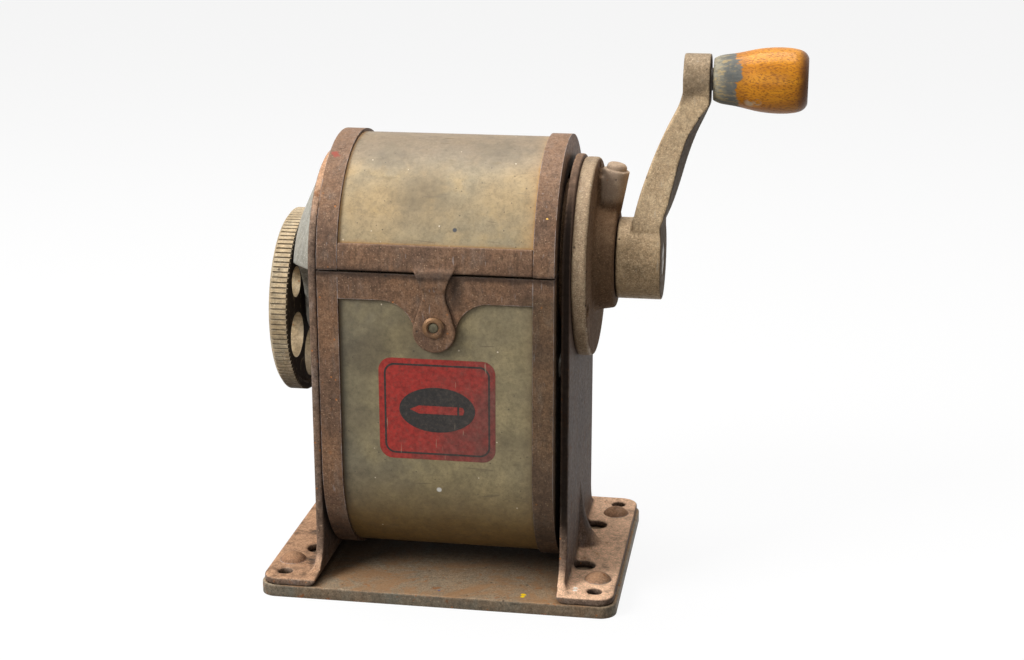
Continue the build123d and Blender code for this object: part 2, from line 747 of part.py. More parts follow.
with BuildPart() as cutter_carrier:
    with BuildSketch(Plane.YZ.offset(carrier_plate_x)):
        with Locations((0, axis_z)):
            Circle(carrier_plate_radius)
    extrude(amount=carrier_plate)
    with BuildSketch(Plane.YZ.offset(carrier_ring_x - carrier_ring)):
        with Locations((0, axis_z)):
            Circle(carrier_radius)
            Circle(carrier_bore_radius, mode=Mode.SUBTRACT)
    extrude(amount=carrier_ring)
    with BuildSketch(Plane.YZ.offset(carrier_ring_x - 0.1)):
        with Locations((-rib_y, axis_z), (rib_y, axis_z)):
            Rectangle(rib_width, rib_height)
    extrude(amount=carrier_plate_x - carrier_ring_x + 0.3)
    for side in (1, -1):
        with BuildSketch(cutter_plane(side).offset(axle_far - axle_near)):
            Circle(axle_radius)
        extrude(amount=3 * axle_near - axle_far, mode=Mode.SUBTRACT)
    with BuildSketch(Plane.YZ.offset(carrier_plate_x)):
        with Locations((0, axis_z)):
            Circle(shaft_radius)
    extrude(amount=carrier_plate, mode=Mode.SUBTRACT)
finish(cutter_carrier, "cutter_carrier")

with BuildPart() as cutter_axles:
    for side in (1, -1):
        with BuildSketch(cutter_plane(side).offset(axle_far)):
            Circle(axle_radius)
        extrude(amount=axle_near - axle_far)
finish(cutter_axles, "cutter_axles")


def make_cutter(side):
    """A fluted cutter with its pinion, free on its axle."""
    with BuildPart() as cutter:
        with BuildSketch(cutter_plane(side).offset(cutter_far)):
            points = []
            for k in range(cutter_teeth):
                for part_step, radius in ((0.0, cutter_radius), (0.12, cutter_radius), (0.5, cutter_radius - cutter_flute)):
                    turn = 2 * math.pi * (k + part_step) / cutter_teeth
                    points.append((radius * math.cos(turn), radius * math.sin(turn)))
            with BuildLine():
                Polyline(*points, close=True)
            make_face()
        extrude(amount=cutter_near - cutter_far)
        with BuildSketch(cutter_plane(side).offset(cutter_near)):
            Circle(cutter_neck_radius)
        extrude(amount=-cutter_near)
        with BuildSketch(cutter_plane(side).offset(-pinion_width / 2)):
            with BuildLine():
                Polyline(*gear_outline(pinion_teeth, pinion_root_radius, pinion_tip_radius, 90), close=True)
            make_face()
        extrude(amount=pinion_width)
        with BuildSketch(cutter_plane(side).offset(cutter_far)):
            Circle(axle_radius + running_fit)
        extrude(amount=pinion_width - cutter_far, mode=Mode.SUBTRACT)
    return cutter


cutter_a = make_cutter(1)
finish(cutter_a, "cutter_a")
cutter_b = make_cutter(-1)
finish(cutter_b, "cutter_b")


# ================================================================ receptacle
def low_profile(radius, top):
    """Closed outline of a round-bottomed box seen from the end, in the YZ plane."""
    Line((-radius, shell_low_z), (-radius, top))
    Line((-radius, top), (radius, top))
    Line((radius, top), (radius, shell_low_z))
    ThreePointArc((radius, shell_low_z), (0, shell_low_z - radius), (-radius, shell_low_z))


with BuildPart() as receptacle_window:
    reach = shell_half - frame_sheet
    with BuildSketch(Plane.YZ.offset(-reach)):
        with BuildLine():
            low_profile(skin_inner, seam_low - 0.1)
        make_face()
        with BuildLine():
            low_profile(window_inner, seam_low + 5)
        make_face(mode=Mode.SUBTRACT)
    extrude(amount=2 * reach)
finish(receptacle_window, "receptacle_window")


def make_receptacle_end(side, opening):
    """End wall with a turned rim that grips the window's edge."""
    with BuildPart() as end:
        start = shell_half - band_width if side > 0 else -shell_half
        with BuildSketch(Plane.YZ.offset(start)):
            with BuildLine():
                low_profile(skin_outer, seam_low)
            make_face()
            with BuildLine():
                low_profile(skin_inner, seam_low + 5)
            make_face(mode=Mode.SUBTRACT)
        extrude(amount=band_width)
        with BuildSketch(Plane.YZ.offset(shell_half - frame_sheet if side > 0 else -shell_half)):
            with BuildLine():
                low_profile(skin_outer, seam_low)
            make_face()
            with Locations((0, axis_z)):
                Circle(opening, mode=Mode.SUBTRACT)
        extrude(amount=frame_sheet)
    return end


receptacle_left_end = make_receptacle_end(-1, carrier_radius + 0.9)
finish(receptacle_left_end, "receptacle_left_end")
receptacle_right_end = make_receptacle_end(1, carrier_radius + 0.9)
finish(receptacle_right_end, "receptacle_right_end")

bar_half = shell_half - band_width
with BuildPart() as receptacle_front_bar:
    # bar with a keeper below the middle, which the cover's tongue lies on
    with BuildSketch(Plane.XZ.offset(skin_inner)):
        with BuildLine():
            Line((-bar_half, seam_low - bar_height), (-bar_half, seam_low))
            Line((-bar_half, seam_low), (bar_half, seam_low))
            Line((bar_half, seam_low), (bar_half, seam_low - bar_height))
            under = seam_low - bar_height
            brow, cheek, keep_z = keeper_half + 7.1, keeper_half + 2.3, stud_z - 0.2
            Line((bar_half, under), (brow, under))
            ThreePointArc((brow, under), (cheek, keep_z + 0.64 * (under - keep_z)), (keeper_half, keep_z))
            ThreePointArc((keeper_half, keep_z), (0, keep_z - keeper_half), (-keeper_half, keep_z))
            ThreePointArc((-keeper_half, keep_z), (-cheek, keep_z + 0.64 * (under - keep_z)), (-brow, under))
            Line((-brow, under), (-bar_half, under))
        make_face()
    extrude(amount=frame_sheet)
finish(receptacle_front_bar, "receptacle_front_bar")

with BuildPart() as receptacle_rear_bar:
    with BuildSketch(Plane.XZ.offset(-skin_outer)):
        with Locations((0, seam_low - bar_height / 2)):
            Rectangle(2 * bar_half, bar_height)
    extrude(amount=frame_sheet)
    # hinge leaf and its knuckle
    with BuildSketch(Plane.YZ.offset(-hinge_leaf_half)):
        with Locations((skin_outer + frame_sheet / 2, seam_low - bar_height / 2 - 0.3)):
            Rectangle(frame_sheet, bar_height - 0.6)
        with Locations(((skin_outer + pivot_y) / 2, shell_z - knuckle_radius + 0.45)):
            Rectangle(pivot_y - skin_outer, 0.9)
        with Locations((pivot_y, shell_z)):
            Circle(knuckle_radius)
            Circle(hinge_pin_radius, mode=Mode.SUBTRACT)
    extrude(amount=2 * hinge_leaf_half)
finish(receptacle_rear_bar, "receptacle_rear_bar")

with BuildPart() as hinge_pin:
    with BuildSketch(Plane.YZ.offset(-hinge_half - 0.4)):
        with Locations((pivot_y, shell_z)):
            Circle(hinge_pin_radius)
    extrude(amount=2 * hinge_half + 0.8)
finish(hinge_pin, "hinge_pin")


# ================================================================ cover
def arch_ring(outer, inner, low):
    """Half ring above the seam, seen from the end, in the YZ plane."""
    with Locations((0, shell_z)):
        Circle(outer)
        Circle(inner, mode=Mode.SUBTRACT)
    with Locations((0, low - 40)):
        Rectangle(100, 80, mode=Mode.SUBTRACT)


with BuildPart() as cover_window:
    with BuildSketch(Plane.YZ.offset(-(shell_half - frame_sheet))):
        arch_ring(skin_inner, window_inner, seam_high + 0.1)
    extrude(amount=2 * (shell_half - frame_sheet))
finish(cover_window, "cover_window")


def make_cover_band(side):
    """Arched rim over one edge of the cover's window, with a narrow turned-in face."""
    with BuildPart() as band:
        with BuildSketch(Plane.YZ.offset(shell_half - band_width if side > 0 else -shell_half)):
            arch_ring(skin_outer, skin_inner, seam_high)
        extrude(amount=band_width)
        with BuildSketch(Plane.YZ.offset(shell_half - frame_sheet if side > 0 else -shell_half)):
            arch_ring(skin_outer, cover_cutout_radius, seam_high)
        extrude(amount=frame_sheet)
    return band


cover_left_band = make_cover_band(-1)
finish(cover_left_band, "cover_left_band")
cover_right_band = make_cover_band(1)
finish(cover_right_band, "cover_right_band")

# tongue: its outline from the front, cut to its bent side profile
tongue_back = skin_outer + 0.2
tongue_front = tongue_back + tongue_sheet
with BuildPart() as tongue:
    bend_z, tab_z = stud_z + 7.7, stud_z + 1.3
    right_edge = [
        (tongue_half + 0.2, seam_high + 0.4),
        (tongue_neck_half + 0.3, stud_z + 9.7),
        (tongue_neck_half, stud_z + 7.1),
        (0.47 * tongue_half + 0.53 * tongue_neck_half, stud_z + 4.3),
        (tongue_half, tab_z),
    ]
    root = (tongue_half + 1.1, seam_high + 3.2)
    with BuildSketch(Plane.XZ.offset(skin_outer - 8)):
        with BuildLine():
            Line((-root[0], root[1]), root)
            Line(root, right_edge[0])
            Spline(*right_edge)
            ThreePointArc(right_edge[-1], (0, stud_z - 6.2), (-tongue_half, tab_z))
            Spline(*[(-x, z) for x, z in reversed(right_edge)])
            Line((-right_edge[0][0], right_edge[0][1]), (-root[0], root[1]))
        make_face()
    extrude(amount=14)
    with BuildSketch(Plane.YZ.offset(-2 * tongue_half)):
        with BuildLine():
            Polyline(
                (-skin_outer + 0.4, seam_high + 4),
                (-skin_outer + 0.4, seam_high + 0.2),
                (-tongue_back - 0.5, seam_high - 0.9),
                (-tongue_back - 0.5, bend_z + 1.8),
                (-tongue_back, bend_z),
                (-tongue_back, bend_z - 17.2),
                (-tongue_front, bend_z - 17.2),
                (-tongue_front, bend_z + 0.2),
                (-tongue_front - 0.5, bend_z + 2.0),
                (-tongue_front - 0.5, seam_high - 0.6),
                (-skin_outer - 0.2, seam_high + 1.4),
                (-skin_outer + 0.3, seam_high + 4),
                close=True,
            )
        make_face()
    extrude(amount=4 * tongue_half, mode=Mode.INTERSECT)
    with BuildSketch(Plane.XZ.offset(skin_outer - 8)):
        with Locations((0, stud_z)):
            Circle(stud_shank_radius)
    extrude(amount=14, mode=Mode.SUBTRACT)

with BuildPart() as cover_front_bar:
    with BuildSketch(Plane.YZ.offset(-bar_half)):
        arch_ring(skin_outer, skin_inner, seam_high)
        with Locations((0, seam_high + bar_height + 40)):
            Rectangle(100, 80, mode=Mode.SUBTRACT)
        with Locations((30, shell_z)):
            Rectangle(60, 100, mode=Mode.SUBTRACT)
    extrude(amount=2 * bar_half)
    add(tongue.part)
finish(cover_front_bar, "cover_front_bar")

with BuildPart() as snap_stud:
    with BuildSketch(Plane.XY.offset(stud_z)):
        with BuildLine():
            Polyline(
                (stud_bore, -tongue_back),
                (stud_shank_radius, -tongue_back),
                (stud_shank_radius, -tongue_front),
                (stud_ring_radius, -tongue_front),
                (stud_ring_radius, -tongue_front - 0.5),
                (stud_ring_radius - 0.5, -tongue_front - 0.9),
                (stud_bore + 0.35, -tongue_front - 0.9),
                (stud_bore, -tongue_front - 0.45),
                close=True,
            )
        make_face()
    revolve(axis=Axis((0, 0, stud_z), (0, 1, 0)))
finish(snap_stud, "snap_stud")

with BuildPart() as cover_rear_bar:
    with BuildSketch(Plane.YZ.offset(-bar_half)):
        arch_ring(skin_outer, skin_inner, seam_high)
        with Locations((0, seam_high + bar_height + 40)):
            Rectangle(100, 80, mode=Mode.SUBTRACT)
        with Locations((-30, shell_z)):
            Rectangle(60, 100, mode=Mode.SUBTRACT)
    extrude(amount=2 * bar_half)
    # two hinge leaves with their knuckles
    for start in (-hinge_half, hinge_leaf_half + hinge_leaf_gap):
        with BuildSketch(Plane.YZ.offset(start)):
            with Locations((skin_outer - 0.1, seam_high + bar_height - 3.0)):
                Rectangle(2 * frame_sheet + 0.2, bar_height - 1.4)
            with Locations((0, shell_z)):
                Circle(skin_inner, mode=Mode.SUBTRACT)
            with Locations(((skin_outer + pivot_y) / 2, shell_z + knuckle_radius - 0.4)):
                Rectangle(pivot_y - skin_outer, 0.8)
            with Locations((pivot_y, shell_z)):
                Circle(knuckle_radius)
                Circle(hinge_pin_radius + running_fit, mode=Mode.SUBTRACT)
        extrude(amount=hinge_half - hinge_leaf_half - hinge_leaf_gap)
finish(cover_rear_bar, "cover_rear_bar")
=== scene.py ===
import math

import bmesh
import bpy
from mathutils import Euler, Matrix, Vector


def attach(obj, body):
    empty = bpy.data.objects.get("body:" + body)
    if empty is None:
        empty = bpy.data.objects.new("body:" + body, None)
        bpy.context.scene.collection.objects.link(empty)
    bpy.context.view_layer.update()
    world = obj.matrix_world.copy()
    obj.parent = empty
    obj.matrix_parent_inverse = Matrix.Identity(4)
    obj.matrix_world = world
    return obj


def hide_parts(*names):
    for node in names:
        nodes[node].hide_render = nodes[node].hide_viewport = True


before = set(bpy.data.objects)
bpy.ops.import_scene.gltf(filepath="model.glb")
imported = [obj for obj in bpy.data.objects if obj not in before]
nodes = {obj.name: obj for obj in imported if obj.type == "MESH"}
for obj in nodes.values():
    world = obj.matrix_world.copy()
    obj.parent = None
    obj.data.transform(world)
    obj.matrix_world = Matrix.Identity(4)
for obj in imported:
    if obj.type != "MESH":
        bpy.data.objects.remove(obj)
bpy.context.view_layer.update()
mm = 0.001
axisZ = 80.9  # crank shaft and pencil
seamHeight = 82.0  # between the cover and the box
print("frame loaded:", len(nodes), "nodes")


class Wire:
    # a shader socket that can be added, multiplied and compared
    def __init__(self, finish, socket):
        self.finish, self.socket = finish, socket

    def math(self, operation, first, second=0.0):
        return self.finish.node("Math", {"operation": operation}, {0: first, 1: second})

    def __add__(self, other):
        return self.math("ADD", self, other)

    def __radd__(self, other):
        return self.math("ADD", other, self)

    def __sub__(self, other):
        return self.math("SUBTRACT", self, other)

    def __rsub__(self, other):
        return self.math("SUBTRACT", other, self)

    def __mul__(self, other):
        return self.math("MULTIPLY", self, other)

    def __rmul__(self, other):
        return self.math("MULTIPLY", other, self)

    def __pow__(self, other):
        return self.math("POWER", self, other)

    def rise(self, low, high):
        # 0 below low, 1 above high, soft between; low above high turns it round
        settings = {"interpolation_type": "SMOOTHSTEP"}
        return self.finish.node("MapRange", settings, {0: self, 1: low, 2: high, 3: 0.0, 4: 1.0})

    def either(self, other):
        return self.math("MAXIMUM", self, other)


class Finish:
    # the nodes of one material, or of the world
    def __init__(self, owner, placed=True):
        self.owner = owner
        owner.use_nodes = True
        self.tree = owner.node_tree
        self.tree.nodes.clear()
        if placed:
            metres = self.node("TexCoord", {}, {}, "Object")
            self.place = self.vector("SCALE", metres, scale=1000.0)  # millimetres
            self.facing = self.node("TexCoord", {}, {}, "Normal")

    def node(self, kind, settings, sockets, output=0):
        made = self.tree.nodes.new("ShaderNode" + kind)
        for key, value in settings.items():
            if key == "stops":
                ramp = made.color_ramp.elements
                while len(ramp) < len(value):
                    ramp.new(0.5)
                for stop, (position, colour) in zip(ramp, value):
                    stop.position, stop.color = position, (*colour, 1.0)
            else:
                setattr(made, key, value)
        for key, value in sockets.items():
            if isinstance(value, Wire):
                self.tree.links.new(value.socket, made.inputs[key])
            elif isinstance(value, tuple) and made.inputs[key].type == "RGBA":
                made.inputs[key].default_value = (*value[:3], 1.0)
            else:
                made.inputs[key].default_value = value
        return Wire(self, made.outputs[output])

    def vector(self, operation, first, second=(0.0, 0.0, 0.0), scale=1.0, output=0):
        sockets = {0: first, 3: scale} if operation == "SCALE" else {0: first, 1: second}
        return self.node("VectorMath", {"operation": operation}, sockets, output)

    def mix(self, factor, first, second, mode="MIX"):
        settings = {"data_type": "RGBA", "blend_type": mode}
        return self.node("Mix", settings, {0: factor, 6: first, 7: second}, 2)

    def tinted(self, colour, tint):
        return self.mix(1.0, colour, tint, "MULTIPLY")

    def grained(self, colour, grain, share):
        # darker and lighter by an uneven grain
        return self.tinted(colour, (grain - 0.5) * share + 1.0)

    def axis(self, source, index):
        return self.node("SeparateXYZ", {}, {0: source}, index)

    def shifted(self, place, shift):
        # so that two textures of one size don't fall together
        return self.vector("ADD", place, (shift, shift * 0.7, shift * 1.3))

    def noise(self, size, detail=3.0, rough=0.55, stretch=(1.0, 1.0, 1.0), shift=0.0, twist=0.0):
        # size is the width of a patch in millimetres
        place = self.shifted(self.vector("MULTIPLY", self.place, stretch), shift)
        sockets = {"Vector": place, "Scale": 0.6 / size, "Detail": detail, "Roughness": rough}
        return self.node("TexNoise", {"noise_dimensions": "3D"}, sockets | {"Distortion": twist})

    def cells(self, size, shift=0.0, output=0):
        sockets = {"Vector": self.shifted(self.place, shift), "Scale": 1.0 / size}
        return self.node("TexVoronoi", {"voronoi_dimensions": "3D"}, sockets, output)

    def dots(self, size, share, radius, shift=0.0):
        # round flecks: cells of this size, a share of them filled to this radius (in cell widths)
        near = self.cells(size, shift)
        pick = self.axis(self.cells(size, shift, 1), 0)
        return near.rise(radius, radius * 0.55) * pick.rise(1.0 - share, 1.0 - share + 0.01)

    def edges(self, width):
        # 1 along sharp edges, within this width
        soft = self.node("Bevel", {"samples": 6}, {"Radius": width * mm})
        flat = self.node("NewGeometry", {}, {}, "Normal")
        return (1.0 - self.vector("DOT_PRODUCT", soft, flat, output=1)).rise(0.02, 0.2)

    def hollows(self, reach):
        # 1 deep in a corner, 0 in the open
        return 1.0 - self.node("AmbientOcclusion", {"samples": 8}, {"Distance": reach * mm}, 1)

    def near(self, point, radius, soft):
        # 1 inside a ball of this radius round a point, in millimetres
        return self.away(point).rise(radius + soft, radius - soft)

    def away(self, point):
        return self.vector("DISTANCE", self.place, point, output=1)

    def bump(self, height, depth):
        return self.node("Bump", {}, {"Height": height, "Distance": depth * mm, "Strength": 1.0})

    def show(self, shader, kind="Material"):
        out = self.tree.nodes.new("ShaderNodeOutput" + kind)
        self.tree.links.new(shader.socket, out.inputs["Surface"])
        return self.owner

    def surface(self, **sockets):
        named = {key.replace("_", " "): value for key, value in sockets.items()}
        return self.show(self.node("BsdfPrincipled", {}, named))


# aged paint over metal is the finish of most pieces
def agedPaint(name, looks):
    f = Finish(bpy.data.materials.new(name))
    cloud = f.noise(looks["cloud"], 5.0, 0.6)
    small = f.noise(looks["cloud"] * 0.22, 4.0, 0.6, shift=31.0)
    grain = f.noise(0.55, 3.0, 0.7, shift=7.0)
    fibre = f.noise(0.6, 3.0, 0.7, stretch=looks["scuffWay"], shift=27.0)
    colour = f.mix(cloud.rise(0.38, 0.62), looks["base"], looks["stain"])
    colour = f.mix(small.rise(0.45, 0.7) * looks["patchy"], colour, looks["light"])
    colour = f.mix(grain.rise(0.38, 0.7) * looks["mottle"], colour, looks["dark"])
    colour = f.mix(fibre.rise(0.5, 0.72) * looks["fibre"], colour, looks["dark"])
    # paint gone grey in patches, and an uneven grain over all of it
    bloom = f.noise(2.6, 5.0, 0.72, stretch=looks["bloomWay"], shift=91.0).rise(0.5, 0.68)
    colour = f.mix(bloom * looks["bloom"], colour, looks["bloomColour"])
    colour = f.grained(colour, f.noise(0.8, 4.0, 0.78, shift=97.0), looks["speckle"])
    # flakes of bronze powder in the paint, rust flecks and pits
    flakes = f.dots(looks["flakeSize"], looks["flakes"], 0.42, shift=3.0)
    flecks = f.dots(1.1, looks["flecks"], 0.3, shift=33.0)
    pits = f.dots(1.5, looks["pits"], 0.26, shift=13.0)
    colour = f.mix(flakes * looks["sparkle"], colour, looks["fleck"])
    colour = f.mix(flecks * 0.75, colour, looks["fleckRust"])
    # grime and painted shade in corners, dust on what faces up
    grime = f.hollows(3.0).rise(0.25, 0.85) * looks["grime"]
    colour = f.mix(grime, colour, looks["dark"])
    up = f.axis(f.facing, 2).rise(0.35, 0.95)
    settled = up * f.noise(4.0, 4.0, 0.65, shift=19.0).rise(0.27, 0.52) * looks["dust"]
    lumps = f.noise(0.8, 3.0, 0.7, shift=83.0).rise(0.35, 0.7)
    colour = f.mix(settled, colour, f.mix(lumps * 0.35, looks["dustColour"], looks["stain"]))
    # rust and bare metal where hands and edges wear it
    rustPatch = f.noise(2.2, 5.0, 0.7, shift=43.0).rise(looks["rustFrom"], looks["rustFrom"] + 0.08)
    rustPatch = rustPatch * looks["rust"]
    colour = f.mix(rustPatch, colour, looks["rustColour"])
    colour = f.grained(colour, f.noise(0.24, 2.0, 0.8, shift=103.0), looks["grit"])
    worn = f.edges(looks["edgeWidth"]) * f.noise(1.6, 4.0, 0.7, shift=53.0).rise(0.36, 0.58) * looks["edge"]
    colour = f.mix(worn, colour, looks["edgeColour"])
    colour = f.mix(pits * 0.8, colour, looks["pitColour"])
    scuffs = f.noise(0.5, 2.0, 0.5, stretch=looks["scuffWay"], shift=61.0).rise(0.66, 0.75) * looks["scuff"]
    colour = f.mix(scuffs, colour, looks["edgeColour"])
    rough = looks["rough"] + 0.22 * grain.rise(0.3, 0.7) + 0.2 * settled - 0.15 * worn + 0.15 * rustPatch
    metal = (looks["metal"] + 0.3 * flakes + 0.4 * worn - 0.3 * settled).either(0.0)
    if looks["zone"]:
        colour, dull = looks["zone"](f, colour, worn)
        rough, metal = rough + 0.25 * dull, metal * (1.0 - 0.85 * dull)
    for point, radius, tint in looks["spots"]:
        drift = (f.noise(radius * 0.8, 4.0, 0.75, shift=107.0) - 0.5) * radius * 3.0
        colour = f.mix((f.away(point) + drift).rise(radius, radius * 0.7), colour, tint)
    height = grain * 0.5 + fibre * 0.25 + flakes * 0.3 - pits * 1.6 + small * 0.6 + rustPatch * 0.7
    return f.surface(
        Base_Color=colour,
        Roughness=rough,
        Metallic=metal,
        Specular_IOR_Level=looks["gloss"],
        Normal=f.bump(height, looks["relief"]),
    )


# what the painted pieces share; each piece's own looks replace some of it
plain = {
    "cloud": 9.0,  # width of the broad patches
    "patchy": 0.5,
    "mottle": 0.3,
    "fibre": 0.35,
    "bloom": 0.5,
    "bloomColour": (0.21, 0.175, 0.155),
    "bloomWay": (1.0, 1.0, 0.35),
    "speckle": 2.0,
    "grit": 0.0,
    "flakes": 0.12,  # share of the cells that hold a flake, as for flecks and pits
    "flakeSize": 0.42,
    "sparkle": 0.6,
    "flecks": 0.02,
    "fleckRust": (0.36, 0.13, 0.035),
    "pits": 0.02,
    "pitColour": (0.03, 0.022, 0.018),
    "grime": 0.85,
    "dust": 0.3,
    "rust": 0.45,
    "rustFrom": 0.66,
    "rustColour": (0.25, 0.095, 0.032),
    "edge": 0.55,
    "edgeWidth": 0.45,
    "scuff": 0.35,
    "scuffWay": (1.0, 1.0, 0.12),
    "rough": 0.44,
    "metal": 0.08,
    "relief": 0.05,
    "gloss": 0.2,
    "zone": None,
    "spots": (),  # middle, radius and colour of single flecks
}


# heights are from the seam, and each pair runs from clean to dark: painted shadow at the seam and the
# tongue, painted shade on the right band, and darkening low down
seamShade = {
    "black": (0.016, 0.010, 0.007),
    "front": (-24.0, -26.0),
    "above": (1.3, 0.1),
    "below": (-1.9, -0.7),
    "tongueSide": (3.4, 4.6),
    "tongueFar": (8.2, 5.6),
    "tongueFoot": (-9.5, -6.5),
    "tongueTop": (1.0, -0.5),
    "bandSide": (20.0, 21.0),
    "bandTop": (-3.0, -6.0),
    "bandShade": (0.55, 0.6, 0.58),
    "darkening": (-55.0, -69.0),
}


def rustZone(f, colour, worn):
    # painted shadow, black, in the seam under the cover's bar and beside its tongue; painted shade on the
    # box's right band; darker low down
    v = seamShade
    side = f.axis(f.place, 0)
    height = f.axis(f.place, 2) + (f.noise(3.0, 4.0, 0.7, shift=71.0) - 0.5) * 1.6

    def level(key):
        return height.rise(*(seamHeight + rise for rise in v[key]))

    # painted shadow under the lip of the cover's bar and beside the tongue
    seamShadow = level("above") * level("below")
    tongueShadow = side.rise(*v["tongueSide"]) * side.rise(*v["tongueFar"])
    tongueShadow = tongueShadow * level("tongueFoot") * level("tongueTop")
    dirt = (seamShadow * 0.7).either(tongueShadow * 0.6) * f.axis(f.place, 1).rise(*v["front"])
    # painted shade: the box's right band darker, on the side away from the lamps
    shadedRightBand = side.rise(*v["bandSide"]) * level("bandTop") * 0.8
    colour = f.mix(shadedRightBand, colour, f.tinted(colour, v["bandShade"]))
    # darker low down
    darkening = level("darkening") * f.noise(4.0, 5.0, 0.7, shift=73.0).rise(0.3, 0.6) * 0.6
    dirt = dirt.either(darkening)
    return f.mix(dirt, colour, v["black"]), dirt


rustLooks = dict(
    plain,
    zone=rustZone,
    base=(0.195, 0.104, 0.056),
    stain=(0.118, 0.066, 0.040),
    light=(0.270, 0.165, 0.100),
    dark=(0.034, 0.020, 0.012),
    fleck=(0.33, 0.22, 0.14),
    dustColour=(0.27, 0.165, 0.10),
    edgeColour=(0.30, 0.265, 0.25),
    flecks=0.02,
    bloom=0.28,
    bloomColour=(0.19, 0.155, 0.125),
    speckle=1.1,
    patchy=0.3,
    edge=0.8,
    edgeWidth=0.35,
    mottle=0.42,
    grime=1.0,
    grit=1.6,
    spots=(
        ((-26.6, -13.5, 106.5), 1.6, (0.24, 0.055, 0.035)),
        ((26.0, -25.2, 95.5), 0.25, (0.7, 0.42, 0.1)),
    ),
)


standShade = {
    "right": (29.0, 30.2),
    "shadedOuterFrom": (9.0, 14.0),
    "shadedOuterColour": (0.055, 0.047, 0.046),
    "headFrom": (55.0, 70.0),
    "headColour": (0.105, 0.066, 0.046),
    "castShadowFrom": (17.0, 24.0),
    "castShadow": (0.012, 0.008, 0.006),
    "left": (-27.0, -31.0),
    "leftFootShade": (0.46, 0.40, 0.34),
}


def standZone(f, colour, worn):
    # painted shadow on the right stand's edge beside the box, painted shade on the outer faces towards +x
    # and on the left foot's top, and a darker head on the right stand
    v = standShade
    side = f.axis(f.place, 0)
    right = side.rise(*v["right"])
    height = f.axis(f.place, 2) + f.noise(3.0, 4.0, 0.6, shift=73.0) * 6.0
    # painted shade on the faces towards +x, away from the lamps
    outer = f.axis(f.facing, 0).rise(0.6, 0.9) * height.rise(*v["shadedOuterFrom"]) * 0.5
    colour = f.mix(outer, colour, v["shadedOuterColour"])
    colour = f.mix(right * height.rise(*v["headFrom"]) * 0.75, colour, v["headColour"])
    # painted shade on the left foot's top, which the lamp from the left lights more
    shadedLeftFoot = side.rise(*v["left"]) * f.axis(f.facing, 2).rise(0.5, 0.9) * 0.8
    colour = f.mix(shadedLeftFoot, colour, f.tinted(colour, v["leftFootShade"]))
    # painted shadow that the box casts on the right stand's front edge
    front = f.axis(f.facing, 1).rise(-0.5, -0.9)
    receptacleShadow = right * front * height.rise(*v["castShadowFrom"]) * (0.92 - worn * 0.5)
    return f.mix(receptacleShadow, colour, v["castShadow"]), receptacleShadow


standLooks = dict(
    plain,
    zone=standZone,
    base=(0.165, 0.104, 0.070),
    stain=(0.120, 0.080, 0.058),
    light=(0.26, 0.18, 0.125),
    dark=(0.040, 0.026, 0.018),
    fleck=(0.34, 0.25, 0.17),
    # the dust's colour is light enough to also lift the right foot out of the body's shade: partly painted
    # light
    dustColour=(0.82, 0.52, 0.335),
    edgeColour=(0.36, 0.31, 0.26),
    dust=0.97,
    rust=0.6,
    rustFrom=0.6,
    edge=0.65,
    flecks=0.05,
    grit=1.8,
    gloss=0.1,
    rough=0.52,
    spots=(
        ((33.9, -28.9, 5.0), 0.6, (0.80, 0.76, 0.68)),
        ((33.8, -27.6, 5.0), 0.6, (0.80, 0.76, 0.68)),
    ),
)

rivetLooks = dict(
    standLooks,
    zone=None,
    base=(0.17, 0.085, 0.05),
    stain=(0.26, 0.16, 0.10),
    dustColour=(0.38, 0.21, 0.115),
    dust=0.8,
    rust=0.8,
)


plateDirtAndShade = {
    "trodden": (0.31, 0.165, 0.075),
    "crust": (0.33, 0.13, 0.035),
    "frontShade": (0.66, 0.6, 0.58),
    "reach": 20.0,
    "darkening": (0.013, 0.009, 0.006),
}


def plateZone(f, colour, worn):
    # rusty where it is trodden; painted shade on the faces towards the front, and painted shadow, black,
    # under the shavings box
    v = plateDirtAndShade
    top = f.axis(f.facing, 2).rise(0.3, 0.9)
    trodden = f.noise(8.0, 6.0, 0.78, shift=117.0, twist=0.8).rise(0.46, 0.6) * top
    colour = f.mix(trodden * 0.7, colour, v["trodden"])
    crusted = f.noise(3.0, 6.0, 0.8, shift=127.0, twist=0.5).rise(0.58, 0.66) * top
    colour = f.mix(crusted * 0.75, colour, v["crust"])
    # painted shade on the faces towards the front
    front = f.axis(f.facing, 1).rise(-0.5, -0.9) * 0.8
    colour = f.mix(front, colour, f.tinted(colour, v["frontShade"]))
    # painted shadow in the hollow under the box
    underShadow = f.hollows(v["reach"]).rise(0.5, 0.9) * top
    return f.mix(underShadow * (0.88 - worn * 0.4), colour, v["darkening"]), underShadow


plateLooks = dict(
    plain,
    zone=plateZone,
    grit=1.8,
    base=(0.185, 0.168, 0.125),
    stain=(0.25, 0.175, 0.105),
    light=(0.29, 0.235, 0.16),
    dark=(0.05, 0.034, 0.02),
    fleck=(0.40, 0.29, 0.18),
    dustColour=(0.34, 0.235, 0.145),
    bloomColour=(0.19, 0.19, 0.15),
    edgeColour=(0.33, 0.29, 0.22),
    cloud=14.0,
    dust=0.5,
    rust=0.85,
    rustFrom=0.6,
    flecks=0.12,
    pits=0.09,
    fibre=0.2,
    scuffWay=(0.1, 1.0, 1.0),
    spots=(
        ((21.2, -30.2, 3.0), 0.7, (0.85, 0.56, 0.01)),
        ((21.4, -29.2, 3.0), 0.7, (0.85, 0.56, 0.01)),
        ((0.6, -30.0, 3.0), 0.3, (0.03, 0.08, 0.3)),
    ),
)


dialDark = {"innerBlack": (0.026, 0.018, 0.012), "low": (59.0, 45.0)}


